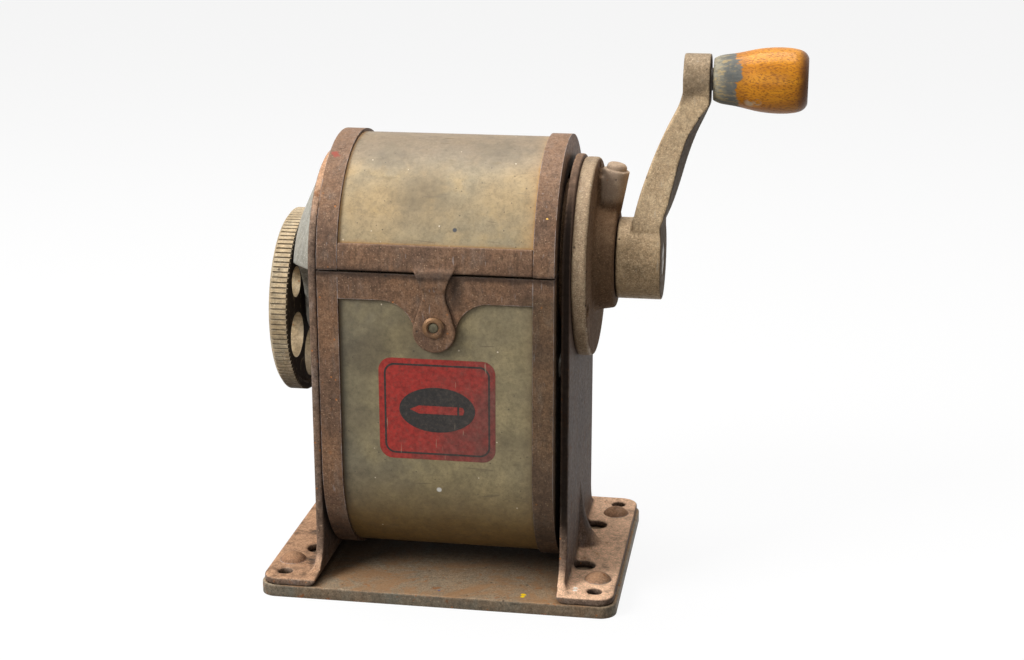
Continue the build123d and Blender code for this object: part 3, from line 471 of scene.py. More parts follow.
def dialZone(f, colour, worn):
    # the face towards the stand is black, and so is the dial's foot
    inside = f.axis(f.facing, 0).rise(0.5, 0.9) * f.noise(2.0, 3.0, 0.6, shift=71.0).rise(0.2, 0.45)
    low = f.axis(f.place, 2).rise(*dialDark["low"]) * 0.72
    black = inside.either(low) * 0.94
    return f.mix(black, colour, dialDark["innerBlack"]), black


dialLooks = dict(
    plain,
    base=(0.365, 0.27, 0.158),
    stain=(0.30, 0.22, 0.125),
    light=(0.45, 0.355, 0.225),
    dark=(0.055, 0.04, 0.025),
    fleck=(0.58, 0.47, 0.31),
    dustColour=(0.42, 0.32, 0.20),
    edgeColour=(0.56, 0.49, 0.38),
    bloomColour=(0.36, 0.31, 0.22),
    grime=1.0,
    metal=0.2,
    edge=0.5,
    fibre=0.1,
    zone=dialZone,
)

guideLooks = dict(
    plain,
    base=(0.30, 0.285, 0.24),
    stain=(0.25, 0.235, 0.198),
    light=(0.38, 0.36, 0.31),
    dark=(0.11, 0.10, 0.082),
    fleck=(0.62, 0.6, 0.54),
    dustColour=(0.46, 0.41, 0.34),
    edgeColour=(0.55, 0.5, 0.43),
    bloomColour=(0.36, 0.36, 0.33),
    speckle=1.2,
    flakes=0.2,
    metal=0.15,
    rust=0.2,
    fibre=0.1,
    relief=0.04,
)

crankShade = {
    "armFrom": (93.0, 100.0),
    "hubEndShade": (0.135, 0.102, 0.08),
    "armSideShade": (0.078, 0.060, 0.052),
    "hubTop": (93.0, 86.0),
    "hubShade": (0.66, 0.63, 0.58),
    "eyeSlant": 0.6,
    "eyeFrom": (86.6, 88.6),  # height less the slant's share of x
    "eyeTint": (0.40, 0.40, 0.42),
}


def crankZone(f, colour, worn):
    # painted shade: the faces towards +x, away from the lamps, are painted dark brown and the hub darker
    # than the arm; the eye is darker too
    v = crankShade
    height = f.axis(f.place, 2) + f.noise(2.0, 3.0, 0.6, shift=71.0) * 1.5
    # painted shade on the faces towards +x
    outer = f.axis(f.facing, 0).rise(0.5, 0.8) * (0.8 - worn * 0.5)
    colour = f.mix(outer, colour, f.mix(height.rise(*v["armFrom"]), v["hubEndShade"], v["armSideShade"]))
    # painted shade on the hub
    shadedHub = height.rise(*v["hubTop"]) * 0.8
    colour = f.mix(shadedHub, colour, f.tinted(colour, v["hubShade"]))
    eye = (height - f.axis(f.place, 0) * v["eyeSlant"]).rise(*v["eyeFrom"]) * 0.8
    return f.mix(eye, colour, f.tinted(colour, v["eyeTint"])), outer


crankLooks = dict(
    plain,
    zone=crankZone,
    base=(0.49, 0.355, 0.212),
    stain=(0.42, 0.30, 0.178),
    light=(0.56, 0.425, 0.265),
    dark=(0.12, 0.08, 0.047),
    fleck=(0.68, 0.56, 0.38),
    dustColour=(0.54, 0.40, 0.255),
    bloomColour=(0.36, 0.29, 0.19),
    bloomWay=(1.0, 1.0, 1.0),
    bloom=0.2,
    speckle=0.8,
    grit=1.5,
    gloss=0.12,
    edgeColour=(0.46, 0.41, 0.33),
    cloud=9.0,
    flakes=0.4,
    flakeSize=0.3,
    sparkle=0.5,
    flecks=0.0,
    pits=0.05,
    metal=0.22,
    rough=0.42,
    rust=0.2,
    fibre=0.0,
    relief=0.06,
)


housingDirt = {
    "rim": (24.55, 24.1),
    "brown": (0.40, 0.29, 0.225),
    "bossFrom": (13.0, 16.0),  # above the shaft
    "bossSide": (35.6, 36.4),
    "bossColour": (0.42, 0.31, 0.235),
}


def housingZone(f, colour, worn):
    # the flange's rim and the boss keep their tan paint; its face and hub have gone brown
    v = housingDirt
    side = f.axis(f.place, 1)
    up = f.axis(f.place, 2) - axisZ
    out = (side * side + up * up) ** 0.5
    ragged = f.noise(2.5, 4.0, 0.65, shift=71.0) * 0.9
    brown = (out + ragged).rise(*v["rim"]) * (1.0 - worn * 0.5)
    boss = up.rise(*v["bossFrom"]) * f.axis(f.place, 0).rise(*v["bossSide"])
    colour = f.mix(brown, colour, f.mix(0.84 - 0.74 * boss, colour, v["brown"], "MULTIPLY"))
    return f.mix(boss * 0.45, colour, v["bossColour"]), brown


housingLooks = dict(
    crankLooks,
    base=(0.32, 0.228, 0.142),
    stain=(0.26, 0.18, 0.112),
    light=(0.48, 0.365, 0.23),
    edgeColour=(0.44, 0.39, 0.33),
    edge=0.7,
    flecks=0.02,
    pits=0.08,
    zone=housingZone,
)


def bareMetal(name, looks):
    f = Finish(bpy.data.materials.new(name))
    cloud = f.noise(3.0, 5.0, 0.65)
    grain = f.noise(0.4, 3.0, 0.7, shift=5.0)
    tarnish = cloud.rise(looks["clean"], looks["clean"] + 0.2)
    # darker deep in hollows: painted shade
    hollowShade = f.hollows(1.5).rise(0.3, 0.9)
    colour = f.mix(tarnish, looks["bright"], looks["dull"])
    colour = f.mix(hollowShade * 0.8, colour, looks["deep"])
    colour = f.mix(grain.rise(0.4, 0.7) * 0.3, colour, looks["deep"])
    shine = f.edges(0.25) * 0.6
    colour = f.mix(shine, colour, looks["bright"])
    rough = looks["rough"] + 0.3 * tarnish + 0.15 * grain + 0.2 * hollowShade - 0.1 * shine
    return f.surface(
        Base_Color=colour,
        Roughness=rough,
        Metallic=looks["metal"] * (1.0 - 0.45 * tarnish.either(hollowShade)),
        Normal=f.bump(grain + tarnish * 0.6, 0.02),
    )


steelLooks = {
    "bright": (0.33, 0.305, 0.27),
    "dull": (0.16, 0.125, 0.095),
    "deep": (0.06, 0.044, 0.033),
    "clean": 0.42,  # share left bright
    "rough": 0.3,
    "metal": 0.9,
}
cutterLooks = dict(
    steelLooks,
    bright=(0.30, 0.295, 0.28),
    dull=(0.16, 0.15, 0.135),
    deep=(0.04, 0.036, 0.032),
    clean=0.46,
)
brassLooks = dict(
    steelLooks,
    bright=(0.17, 0.088, 0.038),
    dull=(0.09, 0.045, 0.022),
    deep=(0.04, 0.022, 0.012),
    metal=0.6,
    rough=0.4,
)
studLooks = dict(
    steelLooks,
    bright=(0.12, 0.105, 0.06),
    dull=(0.085, 0.072, 0.043),
    deep=(0.03, 0.02, 0.012),
    metal=0.3,
    rough=0.55,
)


def agedCelluloid(name, looks):
    f = Finish(bpy.data.materials.new(name))
    ways = {"along": f.axis(f.place, 0), "up": f.axis(f.place, 2)}
    cloud = f.noise(13.0, 4.0, 0.55, shift=looks["shift"], twist=0.4)
    patch = f.noise(5.0, 4.0, 0.6, shift=looks["shift"] + 17.0)
    weave = f.noise(0.5, 3.0, 0.75, shift=29.0)
    colour = f.mix(cloud.rise(0.36, 0.64), looks["base"], looks["grey"])
    colour = f.mix(patch.rise(0.48, 0.72) * 0.6, colour, looks["yellow"])
    for way, low, high, share, tint in looks["fades"]:
        ragged = ways[way] + (patch - 0.5) * 5.0
        colour = f.mix(ragged.rise(low, high) * share, colour, tint)
    # darker round patches under the film
    for point, radius, share in looks["smoke"]:
        away = f.away(point) + (patch - 0.5) * 9.0
        colour = f.mix(away.rise(radius * 1.25, radius * 0.2) * share, colour, looks["dark"])
    colour = f.mix(weave.rise(0.42, 0.72) * 0.34, colour, looks["dark"])
    colour = f.grained(colour, f.noise(2.2, 6.0, 0.82, shift=looks["shift"] + 57.0), looks["mottle"])
    bruise = f.noise(6.0, 6.0, 0.72, shift=looks["shift"] + 77.0, twist=1.5).rise(0.54, 0.68)
    colour = f.mix(bruise * looks["bruise"], colour, looks["dark"])
    speck = f.noise(0.45, 2.0, 0.6, shift=67.0).rise(0.66, 0.74)
    colour = f.mix(speck * 0.4, colour, looks["dark"])
    smear = f.noise(1.6, 4.0, 0.6, stretch=(0.35, 1.0, 1.0), shift=37.0).rise(0.62, 0.75)
    colour = f.mix(smear * 0.35, colour, looks["dark"])
    scratch = f.noise(0.45, 1.5, 0.5, stretch=(0.08, 1.0, 0.9), shift=47.0, twist=0.6).rise(0.7, 0.76)
    colour = f.mix(scratch * 0.45, colour, looks["dark"])
    grit = f.dots(1.5, 0.2, 0.15, shift=5.0)
    crumbs = f.dots(2.3, 0.14, 0.11, shift=15.0)
    colour = f.mix(grit * 0.7, colour, looks["grit"])
    colour = f.mix(crumbs * 0.9, colour, looks["crumb"])
    # dirt and painted shade in hollows
    dirt = (f.hollows(3.2) + (patch - 0.5) * 0.5).rise(0.12, 0.5)
    colour = f.mix(dirt * 0.75, colour, looks["dirt"])
    for point, radius, tint in looks["spots"]:
        colour = f.mix(f.near(point, radius, 0.15), colour, tint)
    return f.surface(
        Base_Color=colour,
        Roughness=looks["rough"] + 0.2 * weave + 0.25 * dirt + 0.2 * smear,
        Specular_IOR_Level=looks["gloss"],
        Normal=f.bump(weave * 0.5 + scratch * 0.6 + grit + crumbs * 1.5 + patch * 0.8, looks["relief"]),
    )


film = {
    "grit": (0.05, 0.038, 0.026),
    "crumb": (0.62, 0.52, 0.38),
    "bruise": 0.3,
    "rough": 0.42,
    "gloss": 0.32,
    "relief": 0.03,
}
# a fade runs from clean to dirty along x or up z; a dark patch is a middle, a radius and a share
coverCelluloid = film | {
    "base": (0.335, 0.240, 0.122),
    "grey": (0.265, 0.210, 0.126),
    "yellow": (0.40, 0.275, 0.120),
    "dark": (0.13, 0.10, 0.06),
    "dirt": (0.34, 0.175, 0.055),
    "shift": 0.0,
    "mottle": 1.3,
    "fades": (
        ("up", 96.0, 86.0, 0.55, (0.285, 0.235, 0.140)),
        ("up", 103.0, 109.0, 0.8, (0.175, 0.130, 0.086)),
        ("up", 89.6, 87.2, 0.9, (0.33, 0.185, 0.07)),
        ("along", 19.0, 24.0, 0.4, (0.38, 0.235, 0.105)),
        ("along", -20.0, -24.0, 0.3, (0.24, 0.20, 0.13)),
    ),
    "smoke": (
        ((-4.0, -21.0, 101.0), 9.0, 0.6),
        ((-13.0, -14.0, 107.0), 6.0, 0.5),
        ((11.0, -10.0, 108.5), 7.0, 0.6),
    ),
    "spots": (((4.5, -25.85, 92.2), 0.5, (0.05, 0.05, 0.055)),),
}
boxCelluloid = film | {
    "base": (0.225, 0.180, 0.092),
    "grey": (0.145, 0.120, 0.072),
    "yellow": (0.30, 0.238, 0.118),
    "dark": (0.075, 0.058, 0.035),
    "dirt": (0.085, 0.050, 0.022),
    "shift": 80.0,
    "mottle": 1.7,
    "fades": (
        ("along", 2.0, 16.0, 0.4, (0.265, 0.215, 0.12)),
        ("along", -9.0, -21.0, 0.6, (0.125, 0.108, 0.072)),
        ("along", 19.0, 24.0, 0.5, (0.12, 0.082, 0.042)),
        ("along", -20.5, -23.8, 0.75, (0.05, 0.042, 0.028)),
        ("up", 36.0, 13.0, 0.9, (0.130, 0.072, 0.018)),
    ),
    "smoke": (
        # the two high patches are a painted shadow of the mechanism inside
        ((-16.0, -28.0, 62.0), 6.5, 0.65),
        ((-6.0, -28.0, 66.0), 7.0, 0.5),
        ((19.0, -28.0, 40.0), 6.0, 0.4),
        ((-19.0, -28.0, 45.0), 5.0, 0.4),
    ),
    "spots": (((0.4, -27.8, 28.2), 0.7, (0.55, 0.53, 0.48)),),
}


woodLooks = {
    "pale": (0.63, 0.255, 0.012),
    "warm": (0.50, 0.18, 0.008),
    "pore": (0.22, 0.072, 0.006),
    "darkTip": (0.10, 0.032, 0.006),
    "paint": (0.125, 0.125, 0.112),
    "paintRim": (0.30, 0.265, 0.185),
    "paintShade": (0.07, 0.075, 0.075),
    "paintRubbed": (0.50, 0.35, 0.14),
    "rimEnds": (65.6, 62.6),
    "paintEnd": 67.6,
    "tipStart": 80.6,
    "chips": (((70.3, -5.2, 119.9), 1.1), ((72.2, -5.8, 120.4), 0.9)),
    "chipColour": (0.50, 0.42, 0.30),
}


def turnedWood(name, looks):
    f = Finish(bpy.data.materials.new(name))
    along = f.axis(f.place, 0)
    grain = f.noise(1.6, 4.0, 0.6, stretch=(0.12, 1.0, 1.0), shift=3.0, twist=0.3)
    pores = f.noise(0.16, 2.0, 0.6, stretch=(0.35, 1.0, 1.0), shift=9.0)
    colour = f.mix(grain.rise(0.35, 0.65), looks["pale"], looks["warm"])
    colour = f.mix(pores.rise(0.48, 0.64) * 0.8, colour, looks["pore"])
    blotch = f.noise(4.0, 4.0, 0.6, shift=23.0).rise(0.5, 0.72)
    colour = f.mix(blotch * 0.35, colour, looks["pore"])
    # darker towards the tip
    tip = (along + (grain - 0.5) * 1.6).rise(looks["tipStart"], looks["tipStart"] + 2.6)
    colour = f.mix(tip * 0.85, colour, looks["darkTip"])
    # paint left on the end by the crank, with a ragged edge
    ragged = f.noise(0.9, 4.0, 0.7, stretch=(0.25, 1.0, 1.0), shift=33.0)
    wander = f.noise(4.5, 2.0, 0.5, shift=39.0)
    end = along + (ragged - 0.5) * 5.0 + (wander - 0.5) * 6.0
    painted = end.rise(looks["paintEnd"] + 0.25, looks["paintEnd"] - 0.25)
    rubbed = f.noise(0.45, 3.0, 0.75, stretch=(0.3, 1.0, 1.0), shift=45.0).rise(0.47, 0.58)
    band = f.noise(3.0, 3.0, 0.6, shift=49.0).rise(0.36, 0.54)
    rim = (along + (ragged - 0.5) * 3.0).rise(*looks["rimEnds"])
    paintColour = f.mix(rim * 0.85, looks["paint"], looks["paintRim"])
    shadow = f.noise(0.7, 4.0, 0.7, stretch=(0.3, 1.0, 1.0), shift=59.0).rise(0.46, 0.62)
    paintColour = f.mix(shadow * 0.55, paintColour, looks["paintShade"])
    paintColour = f.mix(rubbed * band * 0.5, paintColour, looks["paintRubbed"])
    stained = (along + (ragged - 0.5) * 7.0).rise(looks["paintEnd"] + 4.0, looks["paintEnd"]) * 0.45
    colour = f.mix(painted, f.mix(stained, colour, looks["pore"]), paintColour)
    first, second = (f.near(point, radius, 0.5) for point, radius in looks["chips"])
    chip = first.either(second) * f.noise(0.8, 3.0, 0.6, shift=51.0).rise(0.35, 0.5)
    colour = f.mix(chip * 0.7, colour, looks["chipColour"])
    deep = pores.rise(0.52, 0.68)
    return f.surface(
        Base_Color=colour,
        Roughness=0.45 + 0.15 * painted + 0.2 * deep + 0.3 * chip,
        Coat_Weight=0.2 * (1.0 - painted),
        Specular_IOR_Level=0.12,
        Coat_Roughness=0.2,
        Normal=f.bump(painted * 0.8 - deep * 0.5 - chip * 2.0 + ragged * 0.2, 0.05),
    )


inks = {
    "red": (0.27, 0.024, 0.018),
    "redFaded": (0.115, 0.045, 0.036),
    "black": (0.018, 0.016, 0.015),
    "blackFaded": (0.036, 0.030, 0.026),
    "grime": (0.10, 0.075, 0.055),
    "rubbed": (0.27, 0.235, 0.16),
    "scratch": (0.33, 0.27, 0.18),
}


def wornInk(name, ink):
    f = Finish(bpy.data.materials.new(name))
    along, up = f.axis(f.place, 0), f.axis(f.place, 2)
    blotch = f.noise(5.0, 4.0, 0.6, shift=3.0)
    fade = (along * 0.07 - up * 0.035 + blotch * 3.0).rise(-0.9, 1.5)
    colour = f.mix(fade, inks[ink], inks[ink + "Faded"])
    grain = f.noise(0.45, 3.0, 0.7, shift=9.0)
    colour = f.mix(grain.rise(0.45, 0.75) * 0.3, colour, inks["grime"])
    rubbed = f.noise(1.1, 4.0, 0.75, stretch=(1.0, 1.0, 0.35), shift=15.0).rise(0.68, 0.76)
    colour = f.mix(rubbed * 0.55, colour, inks["rubbed"])
    colour = f.grained(colour, f.noise(0.7, 4.0, 0.8, shift=21.0), 2.2)
    scratch = f.noise(0.5, 2.0, 0.5, stretch=(1.0, 1.0, 0.1), shift=25.0, twist=0.5).rise(0.69, 0.75)
    colour = f.mix(scratch * 0.5, colour, inks["scratch"])
    return f.surface(
        Base_Color=colour,
        Roughness=0.42 + 0.25 * grain,
        Specular_IOR_Level=0.25,
        Normal=f.bump(grain * 0.6 - rubbed, 0.02),
    )


finishes = {
    "rust": agedPaint("rustPaint", rustLooks),
    "stand": agedPaint("standPaint", standLooks),
    "rivet": agedPaint("rivetPaint", rivetLooks),
    "plate": agedPaint("platePaint", plateLooks),
    "dial": agedPaint("dialPaint", dialLooks),
    "guide": agedPaint("guidePaint", guideLooks),
    "crank": agedPaint("crankPaint", crankLooks),
    "housing": agedPaint("housingPaint", housingLooks),
    "steel": bareMetal("agedSteel", steelLooks),
    "cutter": bareMetal("cutterSteel", cutterLooks),
    "brass": bareMetal("agedBrass", brassLooks),
    "stud": bareMetal("studCore", studLooks),
    "coverWindow": agedCelluloid("coverCelluloid", coverCelluloid),
    "boxWindow": agedCelluloid("boxCelluloid", boxCelluloid),
    "wood": turnedWood("knobWood", woodLooks),
    "red": wornInk("labelRed", "red"),
    "black": wornInk("labelBlack", "black"),
}
nodeFinish = {
    "rust": (
        "receptacle_left_end receptacle_right_end receptacle_front_bar receptacle_rear_bar "
        "cover_left_band cover_right_band cover_front_bar cover_rear_bar"
    ),
    "stand": "left_stand right_stand",
    "rivet": "foot_rivets",
    "plate": "base_plate",
    "dial": "selector_dial",
    "guide": "guide_housing",
    "crank": "crank_arm",
    "housing": "gear_housing lock_screw cutter_carrier",
    "steel": (
        "receptacle_pads dial_spring detent_ball dial_pivot_screw dial_washer housing_screws ring_gear "
        "drive_shaft crank_screw knob_spindle cutter_axles hinge_pin"
    ),
    "cutter": "cutter_a cutter_b",
    "brass": "shaft_bush snap_stud",
    "coverWindow": "cover_window",
    "boxWindow": "receptacle_window",
    "wood": "wooden_knob",
}
for key, names in nodeFinish.items():
    for name in names.split():
        for slot in nodes[name].material_slots:
            slot.material = finishes[key]
print("finishes:", len(finishes))


def newObject(name, data):
    made = bpy.data.objects.new(name, data)
    bpy.context.scene.collection.objects.link(made)
    return made


def meshFrom(b, name):
    mesh = bpy.data.meshes.new(name)
    b.to_mesh(mesh)
    b.free()
    return mesh


def newPiece(name, mesh, finish, body, replaced=()):
    piece = newObject(name, mesh)
    mesh.materials.clear()
    mesh.materials.append(finishes[finish])
    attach(piece, body)
    if replaced:
        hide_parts(*replaced)


arm = {
    # height, and how far the outer side leans in there
    "lean": (
        (86.0, 0.0),
        (88.0, 0.35),
        (93.8, 1.0),
        (99.9, 1.45),
        (106.0, 1.95),
        (112.0, 2.4),
        (116.6, 1.5),
        (119.5, 0.0),
    ),
    "half": 6.2,  # of its depth
    "reach": 7.2,
    "curve": 1.5,
}


def leanArm(mesh):
    # the arm's front is narrower than its back, so its outer side looks forward a little
    heights = [z for z, lean in arm["lean"]]
    rows = {}  # the arm's least and most x at each height
    for vert in mesh.vertices:
        x, y, z = vert.co / mm
        if heights[0] < z < heights[-1] and abs(y) < arm["reach"]:
            row = rows.setdefault(round(z), [x, x])
            row[0], row[1] = min(row[0], x), max(row[1], x)
    for vert in mesh.vertices:
        x, y, z = vert.co / mm
        if not heights[0] < z < heights[-1] or round(z) not in rows:
            continue
        low, high = rows[round(z)]
        k = next(k for k in range(len(heights) - 1) if z <= heights[k + 1])
        (z0, lean0), (z1, lean1) = arm["lean"][k : k + 2]
        lean = lean0 + (lean1 - lean0) * (z - z0) / (z1 - z0)
        across = min(max((x - low) / max(high - low, 0.1), 0.0), 1.0)
        front = min(max((arm["half"] - y) / (2 * arm["half"]), 0.0), 1.0)
        vert.co.x -= lean * across ** arm["curve"] * front * mm


def castCopy(name, node, grain, rounds, finish, body, slotName):
    # the solid with its edges softened as a mould or a press leaves them
    b = bmesh.new()
    b.from_mesh(nodes[node].data)
    bmesh.ops.remove_doubles(b, verts=b.verts, dist=1e-6)
    rough = newObject(name + "Rough", meshFrom(b, name + "Rough"))
    skin = rough.modifiers.new("skin", "REMESH")
    skin.mode, skin.voxel_size, skin.use_smooth_shade = "VOXEL", grain * mm, True
    soften = rough.modifiers.new("soften", "SMOOTH")
    soften.factor, soften.iterations = 0.5, rounds
    seen = rough.evaluated_get(bpy.context.evaluated_depsgraph_get())
    cast = bpy.data.meshes.new_from_object(seen)
    bpy.data.objects.remove(rough)
    if node == "crank_arm":
        leanArm(cast)
    newPiece(name, cast, finish, body, (node,))
    print(name, len(cast.polygons), "faces")


# name, node, grain in millimetres, rounds of softening, finish, body and slot
castings = (
    ("castCrank", "crank_arm", 0.32, 4, "crank", "crank", "crank_paint"),
    ("pressedBar", "cover_front_bar", 0.22, 6, "rust", "cover", "rust_paint"),
    ("pressedLeftStand", "left_stand", 0.42, 6, "stand", "frame", "stand_paint"),
    ("pressedRightStand", "right_stand", 0.42, 6, "stand", "frame", "stand_paint"),
    ("castGuide", "guide_housing", 0.42, 3, "guide", "frame", "guide_paint"),
    ("castHousing", "gear_housing", 0.42, 3, "housing", "frame", "housing_paint"),
)
for casting in castings:
    castCopy(*casting)


studCore = {
    "front": 29.65,
    "height": 69.5,
    "radius": 1.22,
    "rise": 0.35,
    "dome": 0.18,
    "lobes": 6,
    "lobeDepth": 0.06,
    "sides": 36,
}


def makeStudCore():
    # the dirt and metal that fill the stud's tube, with a slightly lobed dome
    v = studCore
    sides = v["sides"]
    b = bmesh.new()
    rings = []
    dome = ((1.0, 0.0), (1.0, v["rise"]), (0.8, v["rise"] + 0.5 * v["dome"]), (0.4, v["rise"] + v["dome"]))
    for share, out in dome:
        ring = []
        for k in range(sides):
            a = math.tau * k / sides
            lobed = 1.0 - v["lobeDepth"] * math.cos(v["lobes"] * a) if share < 0.9 else 1.0
            r = v["radius"] * share * lobed
            place = (r * math.cos(a) * mm, -(v["front"] + out) * mm, (v["height"] + r * math.sin(a)) * mm)
            ring.append(b.verts.new(place))
        rings.append(ring)
    for low, high in zip(rings, rings[1:]):
        for j in range(sides):
            k = (j + 1) % sides
            b.faces.new((low[j], low[k], high[k], high[j]))
    b.faces.new(rings[0])
    b.faces.new(rings[-1])
    bmesh.ops.recalc_face_normals(b, faces=b.faces)
    mesh = meshFrom(b, "studCore")
    mesh.shade_smooth()
    newPiece("studCore", mesh, "stud", "cover")


makeStudCore()
print("stud done")


# along each cutter's axle, t is 0 in the middle of the pinion and negative towards the pencil
cutter = {
    "teeth": 20,
    "radius": 7.4,
    "flute": 1.3,
    "bore": 2.05,
    "near": -3.2,
    "far": -39.0,
    "turn": 70.0,  # degrees of twist over the length
    "steps": 44,
    "flutePath": ((0.0, 0.0), (0.12, 0.0), (0.5, 1.0), (0.8, 0.55)),  # share of a tooth, share of the depth
    "endRound": 0.35,
    "tilt": 10.5,
    "originX": 24.0,
    "offset": 8.0,
    "neck": 4.3,
    "neckSides": 48,
    "pinionTeeth": 12,
    "pinionTip": 6.75,
    "pinionRoot": 4.9,
    "pinionHalf": 1.5,
    "toothRoot": 0.875,  # half widths of a pinion's tooth
    "toothSide": 0.52,
    "toothTip": 0.30,
    "toothChamfer": 0.5,
}


def skinTube(b, rings, bore):
    # rings of points from one end to the other, with a bore down the middle
    loops = [[b.verts.new(p) for p in ring] for ring in rings]
    inner = [[b.verts.new(p) for p in ring] for ring in bore]
    count = len(bore[0])
    for j in range(count):
        k = (j + 1) % count
        for a, c in zip(loops, loops[1:]):
            b.faces.new((a[j], a[k], c[k], c[j]))
        b.faces.new((inner[0][k], inner[0][j], inner[1][j], inner[1][k]))
        b.faces.new((loops[0][k], loops[0][j], inner[0][j], inner[0][k]))
        b.faces.new((loops[-1][j], loops[-1][k], inner[1][k], inner[1][j]))


def fluteProfile():
    v = cutter
    return [
        (v["radius"] - v["flute"] * depth, math.tau * (k + share) / v["teeth"])
        for k in range(v["teeth"])
        for share, depth in v["flutePath"]
    ]


def pinionProfile():
    v = cutter
    side = ((v["pinionRoot"], v["toothRoot"]), (v["pinionTip"] - v["toothChamfer"], v["toothSide"]))
    side += ((v["pinionTip"], v["toothTip"]),)
    tooth = [(radius, -half) for radius, half in side] + list(reversed(side))
    middles = [math.radians(90 + 360 * k / v["pinionTeeth"]) for k in range(v["pinionTeeth"])]
    return [(radius, middle + half / radius) for middle in middles for radius, half in tooth]


def helicalCutter(name, side, body, node):
    v = cutter
    lean = math.radians(v["tilt"])
    origin = Vector((v["originX"], 0, axisZ + side * v["offset"]))
    shaft = Vector((math.cos(lean), 0, -side * math.sin(lean)))
    across = Vector((side * math.sin(lean), 0, math.cos(lean)))

    def point(radius, angle, t):
        out = Vector((0, radius * math.cos(angle), 0)) + across * radius * math.sin(angle)
        return (origin + shaft * t + out) * mm

    def ring(profile, t, twist=0.0, less=0.0):
        return [point(r - less, a + twist, t) for r, a in profile]

    def tube(profile, rings, start, end):
        skinTube(b, rings, [ring([(v["bore"], a) for r, a in profile], t) for t in (start, end)])

    b = bmesh.new()
    near, far, steps, half = v["near"], v["far"], v["steps"], v["pinionHalf"]
    flutes = fluteProfile()
    rings = []
    for j in range(steps + 1):
        twist = side * math.radians(v["turn"]) * j / steps
        less = v["endRound"] if j in (0, steps) else 0.0
        rings.append(ring(flutes, far + (near - far) * j / steps, twist, less))
    tube(flutes, rings, far, near)
    neck = [(v["neck"], math.tau * k / v["neckSides"]) for k in range(v["neckSides"])]
    tube(neck, [ring(neck, t) for t in (near, -half)], near, -half)
    pinion = pinionProfile()
    tube(pinion, [ring(pinion, t) for t in (-half, half)], -half, half)
    bmesh.ops.recalc_face_normals(b, faces=b.faces)
    newPiece(name, meshFrom(b, name), "cutter", body, (node,))


helicalCutter("upperCutter", 1, "upper_cutter", "cutter_a")
helicalCutter("lowerCutter", -1, "lower_cutter", "cutter_b")
print("cutters done")


# a plain panel with a pencil on a dark oval
label = {
    "front": -27.8,
    "centre": (0.2, 48.6),
    "half": (14.1, 12.6),
    "corner": 3.2,
    "inset": 1.3,
    "line": 0.45,
    "borderCorner": 2.6,
    "cornerSteps": 10,
    "oval": (9.2, 5.6),
    "ovalSides": 72,
    "pencil": (
        (-6.6, 0.0),
        (-6.2, -0.16),
        (-4.4, -1.0),
        (4.9, -1.0),
        (4.9, 1.0),
        (-4.4, 1.0),
        (-6.2, 0.16),
    ),
    "cap": ((5.4, -1.0), (6.3, -0.9), (6.6, 0.0), (6.3, 0.9), (5.4, 1.0)),
    "film": 0.03,
    "gap": 0.002,
}


def roundedLoop(inset, corner):
    # the panel's outline, drawn in by this much
    (wide, high), steps = label["half"], label["cornerSteps"]
    points = []
    for sx, sz, start in ((1, 1, 0), (-1, 1, 90), (-1, -1, 180), (1, -1, 270)):
        for k in range(steps + 1):
            a = math.radians(start + 90 * k / steps)
            x = sx * (wide - inset - corner) + corner * math.cos(a)
            points.append((x, sz * (high - inset - corner) + corner * math.sin(a)))
    return points


def labelFilm(name, ink, level, outline, hole=None):
    # a thin film, standing this many films proud of the window
    b = bmesh.new()
    cx, cz = label["centre"]
    back = label["front"] - label["film"] * (level - 1) - label["gap"]
    front = label["front"] - label["film"] * level

    def ring(points, y):
        return [b.verts.new(((cx + x) * mm, y * mm, (cz + z) * mm)) for x, z in points]

    outer = [ring(outline, y) for y in (back, front)]
    count = len(outline)
    inner = [ring(hole, y) for y in (back, front)] if hole else None
    for j in range(count):
        k = (j + 1) % count
        b.faces.new((outer[0][j], outer[0][k], outer[1][k], outer[1][j]))
        if inner:
            b.faces.new((inner[0][k], inner[0][j], inner[1][j], inner[1][k]))
            for side in (0, 1):
                b.faces.new((outer[side][j], outer[side][k], inner[side][k], inner[side][j]))
    if not inner:
        b.faces.new(outer[0])
        b.faces.new(outer[1])
    bmesh.ops.recalc_face_normals(b, faces=b.faces)
    newPiece(name, meshFrom(b, name), ink, "frame")


def makeLabel():
    v = label
    labelFilm("labelPanel", "red", 1, roundedLoop(0.0, v["corner"]))
    outer = roundedLoop(v["inset"], v["borderCorner"])
    inner = roundedLoop(v["inset"] + v["line"], v["borderCorner"] - v["line"])
    labelFilm("labelBorder", "black", 2, outer, inner)
    turns = [math.tau * k / v["ovalSides"] for k in range(v["ovalSides"])]
    wide, high = v["oval"]
    labelFilm("labelOval", "black", 2, [(wide * math.cos(a), high * math.sin(a)) for a in turns])
    labelFilm("labelPencil", "red", 3, v["pencil"])
    labelFilm("labelCap", "red", 3, v["cap"])


makeLabel()
print("label done")


# softened edges on sheet metal: merge flat faces, round what is sharp, even the shading
softEdges = {
    0.3: "base_plate",
    0.16: (
        "cover_left_band cover_right_band cover_front_bar cover_rear_bar receptacle_left_end "
        "receptacle_right_end receptacle_front_bar receptacle_rear_bar"
    ),
}
for width, names in softEdges.items():
    for name in names.split():
        flat = nodes[name].modifiers.new("flat", "DECIMATE")
        flat.decimate_type, flat.angle_limit = "DISSOLVE", math.radians(0.5)
        rolled = nodes[name].modifiers.new("rolled", "BEVEL")
        rolled.width, rolled.segments, rolled.limit_method = width * mm, 3, "ANGLE"
        rolled.angle_limit = math.radians(40)
        even = nodes[name].modifiers.new("even", "WEIGHTED_NORMAL")
        even.keep_sharp = False
print("edges done")


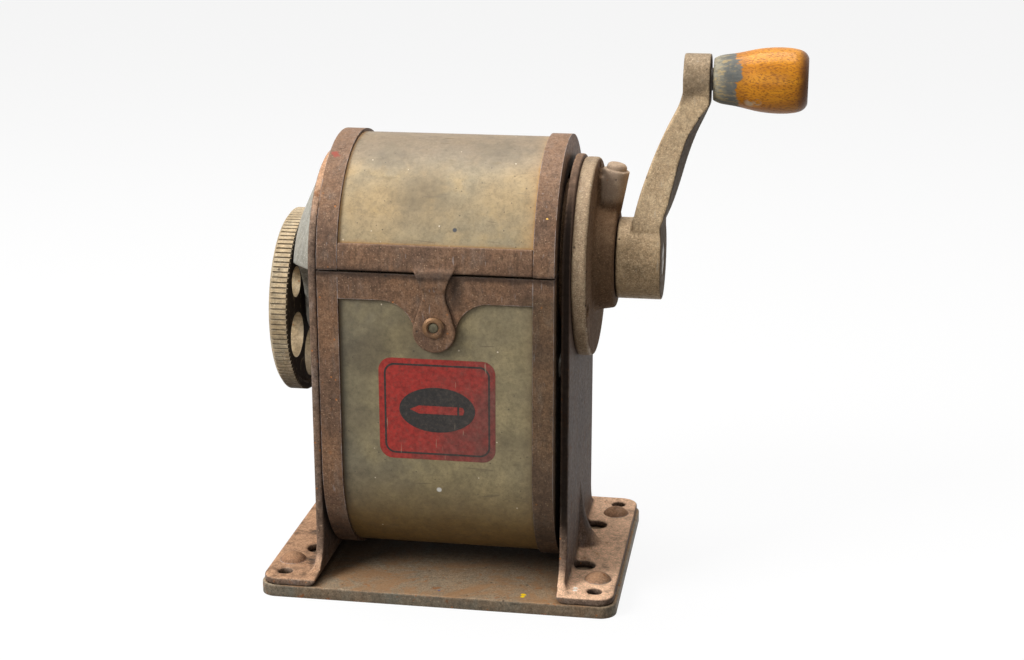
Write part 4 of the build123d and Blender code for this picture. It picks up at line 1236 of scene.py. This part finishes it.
stage = {
    "floor": 3.0,  # half its width, in metres
    "floorCells": 40,
    "floorColour": (0.80, 0.79, 0.785),
    "floorGlow": 0.9,
    "bounce": (0.13, 0.125, 0.12),  # the floor's colour as it lights the object
    "worldLight": 0.09,
    # name, place, width and watts
    "lamps": (
        ("keyLamp", (-0.50, -0.38, 0.47), 0.32, 6.4),
        ("topLamp", (-0.02, 0.10, 0.72), 0.5, 5.2),
        ("fillLamp", (-0.05, -0.70, 0.26), 0.5, 1.3),
    ),
    "aim": (0.0, 0.0, 0.06),
}


def seenPlainly(f):
    # 1 for rays from the camera, from gloss and through glass
    kinds = ("Is Camera Ray", "Is Glossy Ray", "Is Transmission Ray")
    seen, glossy, glass = (f.node("LightPath", {}, {}, kind) for kind in kinds)
    return seen.either(glossy).either(glass)


def makeFloor():
    b = bmesh.new()
    half, cells = stage["floor"], stage["floorCells"]
    places = [half * (2 * k / cells - 1) for k in range(cells + 1)]
    rows = [[b.verts.new((x, y, 0)) for x in places] for y in places]
    for low, high in zip(rows, rows[1:]):
        for k in range(cells):
            b.faces.new((low[k], low[k + 1], high[k + 1], high[k]))
    floor = newObject("floor", meshFrom(b, "floor"))
    f = Finish(bpy.data.materials.new("floorCloth"), placed=False)
    cloth = f.mix(seenPlainly(f), stage["bounce"], stage["floorColour"])
    matt = f.node("BsdfDiffuse", {}, {"Color": cloth})
    glow = f.node("Emission", {}, {"Color": (1.0, 1.0, 1.0), "Strength": 1.0})
    both = f.node("MixShader", {}, {0: seenPlainly(f) * stage["floorGlow"], 1: matt, 2: glow})
    floor.data.materials.append(f.show(both))


def makeWorld():
    bpy.context.scene.world = bpy.data.worlds.new("studio")
    f = Finish(bpy.context.scene.world, placed=False)
    level = seenPlainly(f) * (1.0 - stage["worldLight"]) + stage["worldLight"]
    f.show(f.node("Background", {}, {"Color": (1.0, 1.0, 1.0), "Strength": level}), "World")


def makeLamps():
    for name, place, width, power in stage["lamps"]:
        data = bpy.data.lights.new(name, "AREA")
        data.size, data.energy = width, power
        lamp = newObject(name, data)
        lamp.location = place
        lamp.rotation_euler = (Vector(stage["aim"]) - Vector(place)).to_track_quat("-Z", "Y").to_euler()


camera = {
    "place": (0.08087, -0.41363, 0.18266),
    "turn": (73.829, 0.0, 9.219),
    "lens": 61.43,
    "sensor": 36.0,
    "nearest": 0.01,
}


def makeCamera():
    data = bpy.data.cameras.new("camera")
    data.lens, data.sensor_width, data.clip_start = camera["lens"], camera["sensor"], camera["nearest"]
    view = newObject("camera", data)
    view.location = camera["place"]
    view.rotation_euler = Euler([math.radians(a) for a in camera["turn"]])
    bpy.context.scene.camera = view


makeFloor()
makeWorld()
makeLamps()
makeCamera()
bpy.context.scene.view_settings.view_transform = "Standard"
print("stage done")
